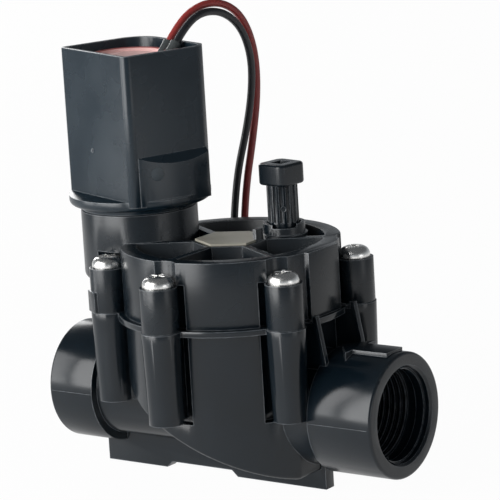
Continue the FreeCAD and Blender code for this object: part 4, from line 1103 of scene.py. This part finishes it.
@dataclass
class Studio:
    """The pale floor, the light and the camera.

    Attributes:
        azimuth: where the camera stands round the valve, in degrees.
        elevation: how far it looks down, in degrees.
        roll: how far it is tipped, in degrees.
        distance: how far it stands from its target, in metres.
        focal: its focal length in millimetres.
        sensor: its sensor's width in millimetres.
        target_height: how high its target is, in millimetres.
        target_shift: how far its target is moved to the right, in millimetres.
        horizon: how bright the surroundings are at eye level.
        zenith: how bright they are overhead.
        fade_height: how high the surroundings stop fading, as a share of straight up.
        tint: the surroundings' colour.
        floor_white: how much of the floor is plain white to the camera.
        floor_sheen: how much more of it is white in reflections.
    """

    azimuth: float = 36.14
    elevation: float = 12.03
    roll: float = -3.42
    distance: float = 0.850
    focal: float = 218.677
    sensor: float = 36.0
    target_height: float = 65.71
    target_shift: float = 5.34
    horizon: float = 0.48
    zenith: float = 0.1
    fade_height: float = 0.5
    tint: Colour = (0.9, 0.95, 1.0)
    floor_white: float = 0.97
    floor_sheen: float = 0.5

    def camera(self) -> None:
        """Set the camera up and make it the scene's own."""
        turn, rise, tip = (math.radians(angle) for angle in (self.azimuth, self.elevation, self.roll))
        back = Vector((math.cos(rise) * math.sin(turn), -math.cos(rise) * math.cos(turn), math.sin(rise)))
        level = Vector((math.cos(turn), math.sin(turn), 0.0))
        upright = back.cross(level)
        right = level * math.cos(tip) + upright * math.sin(tip)
        up = upright * math.cos(tip) - level * math.sin(tip)
        target = metres((0.0, 0.0, self.target_height)) + right * self.target_shift * MM
        data = bpy.data.cameras.new("camera")
        data.lens = self.focal
        data.sensor_width = self.sensor
        data.clip_start = 0.01
        data.clip_end = 20.0
        camera = bpy.data.objects.new("camera", data)
        place = target + back * self.distance
        camera.matrix_world = Matrix((
            (right.x, up.x, back.x, place.x),
            (right.y, up.y, back.y, place.y),
            (right.z, up.z, back.z, place.z),
            (0.0, 0.0, 0.0, 1.0),
        ))
        bpy.context.scene.collection.objects.link(camera)
        bpy.context.scene.camera = camera

    def floor(self) -> None:
        """Lay a wide pale floor that keeps a trace of the valve's shadow."""
        bpy.ops.object.select_all(action="DESELECT")
        bpy.ops.mesh.primitive_plane_add(size=8.0, location=(0.0, 0.0, 0.0))
        floor = bpy.context.object
        floor.name = "floor"
        tree = MaterialTree("floor")
        tree.shader.inputs["Base Color"].default_value = (0.86, 0.86, 0.86, 1.0)
        tree.shader.inputs["Roughness"].default_value = 0.7
        tree.shader.inputs["Specular IOR Level"].default_value = 0.2
        glow = tree.nodes.new("ShaderNodeEmission")
        glow.inputs["Strength"].default_value = 1.0
        path = tree.nodes.new("ShaderNodeLightPath")
        seen = tree.nodes.new("ShaderNodeMath")
        seen.operation = "MULTIPLY"
        seen.inputs[1].default_value = self.floor_white
        mirrored = tree.nodes.new("ShaderNodeMath")
        mirrored.operation = "MULTIPLY_ADD"
        mirrored.inputs[1].default_value = self.floor_sheen
        tree.links.new(path.outputs["Is Camera Ray"], seen.inputs[0])
        tree.links.new(path.outputs["Is Glossy Ray"], mirrored.inputs[0])
        tree.links.new(seen.outputs[0], mirrored.inputs[2])
        blend = tree.nodes.new("ShaderNodeMixShader")
        tree.links.new(mirrored.outputs[0], blend.inputs[0])
        tree.links.new(tree.shader.outputs[0], blend.inputs[1])
        tree.links.new(glow.outputs[0], blend.inputs[2])
        tree.links.new(blend.outputs[0], tree.nodes["Material Output"].inputs["Surface"])
        floor.data.materials.append(tree.material)

    def world(self) -> None:
        """Surround the valve with soft light and a white backdrop."""
        world = bpy.data.worlds.new("world")
        bpy.context.scene.world = world
        world.use_nodes = True
        nodes, links = world.node_tree.nodes, world.node_tree.links
        light = nodes["Background"]
        light.inputs["Color"].default_value = (*self.tint, 1.0)
        heading = nodes.new("ShaderNodeTexCoord")
        parts = nodes.new("ShaderNodeSeparateXYZ")
        fade = nodes.new("ShaderNodeMapRange")
        fade.inputs["From Min"].default_value = 0.0
        fade.inputs["From Max"].default_value = self.fade_height
        fade.inputs["To Min"].default_value = self.horizon
        fade.inputs["To Max"].default_value = self.zenith
        links.new(heading.outputs["Generated"], parts.inputs[0])
        links.new(parts.outputs["Z"], fade.inputs["Value"])
        links.new(fade.outputs["Result"], light.inputs["Strength"])
        white = nodes.new("ShaderNodeBackground")
        white.inputs["Strength"].default_value = 1.0
        white.inputs["Color"].default_value = (1.0, 1.0, 1.0, 1.0)
        path = nodes.new("ShaderNodeLightPath")
        blend = nodes.new("ShaderNodeMixShader")
        links.new(path.outputs["Is Camera Ray"], blend.inputs[0])
        links.new(light.outputs[0], blend.inputs[1])
        links.new(white.outputs[0], blend.inputs[2])
        links.new(blend.outputs[0], nodes["World Output"].inputs["Surface"])

    def build(self) -> None:
        """Set up everything round the valve."""
        bpy.context.scene.view_settings.view_transform = "Standard"
        self.camera()
        self.floor()
        self.world()
        for lamp in SOFTBOXES:
            lamp.hang()


SOFTBOXES = (
    Softbox("front_softbox", (-0.216, -0.718, 0.36), (0.54, 0.72), 6.2, aim=(0.0, 0.0, 0.36)),
    Softbox("left_softbox", (-0.639, -0.481, 0.36), (0.31, 0.72), 2.5, aim=(0.0, 0.0, 0.36)),
    Softbox("right_softbox", (1.0, -0.12, 0.15), (0.4, 0.3), 0.4),
    Softbox("rear_softbox", (-1.0, 0.7, 0.5), (0.5, 0.6), 4.0),
)


# ---------------------------------------------------------------- build

PLAIN_FINISH = {
    "nameplate": "tan_plate",
    "diaphragm_plate": "white_plastic",
    "seat_disc": "black_rubber",
    "diaphragm_stem": "stainless",
    "filter_screen": "white_plastic",
    "pilot_seat": "white_plastic",
    "bleed_o_ring": "black_rubber",
    "solenoid_o_ring": "black_rubber",
    "coil_bobbin": "white_plastic",
    "coil_winding": "copper",
    "flux_frame": "stainless",
    "core_tube": "stainless",
    "pole_piece": "stainless",
    "plunger": "stainless",
    "plunger_seal": "black_rubber",
    "potting_cover": "resin",
    "coil_cap": "pink_cap",
    "lead_sleeves": "sleeve",
}

EASED_NODES = (
    EasedNode("valve_body", "base", "body_plastic", "body_plastic"),
    EasedNode("bonnet", "base", "bonnet_plastic", "bonnet_plastic"),
    EasedNode("bonnet_screws", "base", "screw_steel", "screw_steel", width=0.15),
    EasedNode("bleed_screw", "bleed_screw", "bleed_plastic", "body_plastic", width=0.5),
    EasedNode("solenoid_housing", "solenoid", "case_plastic", "case_plastic"),
)

FLEXING_NODES = (
    CoilSpring("diaphragm_spring", "plate", "base", "stainless"),
    CoilSpring("plunger_spring", "plunger", "solenoid", "stainless", wire=0.6),
    RubberSheet("diaphragm", "plate", "base", "black_rubber"),
)

PARTING_LINES = (
    PartingLine("inlet_parting_near", start=35.2, end=54.4, radius=17.6, side=-1),
    PartingLine("inlet_parting_far", start=35.2, end=54.4, radius=17.6, side=1),
    PartingLine("outlet_parting_near", start=-54.4, end=-40.2, radius=17.1, side=-1),
    PartingLine("outlet_parting_far", start=-54.4, end=-40.2, radius=17.1, side=1),
)

STEM_PIP = MouldMark("stem_pip", (11.0, 10.94, 76.0), facing=-54.0, radius=0.85, body="bleed_screw",
                     finish="bleed_plastic", slot="body_plastic", proud=0.35)
CASE_MARKS = (
    MouldMark("cheek_mark", (-15.24, -11.33, 88.5), facing=SOLENOID_TURN - 10.5, radius=1.9,
              body="solenoid", finish="case_polished", slot="case_plastic", proud=0.1),
    MouldMark("case_pip", (-37.52, -11.76, 94.0), facing=SOLENOID_TURN - 90.0, radius=0.65,
              body="solenoid", finish="case_plastic", slot="case_plastic", proud=0.2),
)


def main() -> None:
    """Build the studio and every piece in order."""
    bpy.ops.object.select_all(action="DESELECT")
    Studio().build()
    for lead in LEADS:
        lead.build()
    for node, finish in PLAIN_FINISH.items():
        shelf.dress(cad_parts[node], finish)
    for part in (*EASED_NODES, *FLEXING_NODES):
        part.build()
    for side in PortSide:
        PortThread(side).build()
    for part in (*PARTING_LINES, STEM_PIP, CapRim(), *CASE_MARKS):
        part.build()


if __name__ == "__main__":
    main()
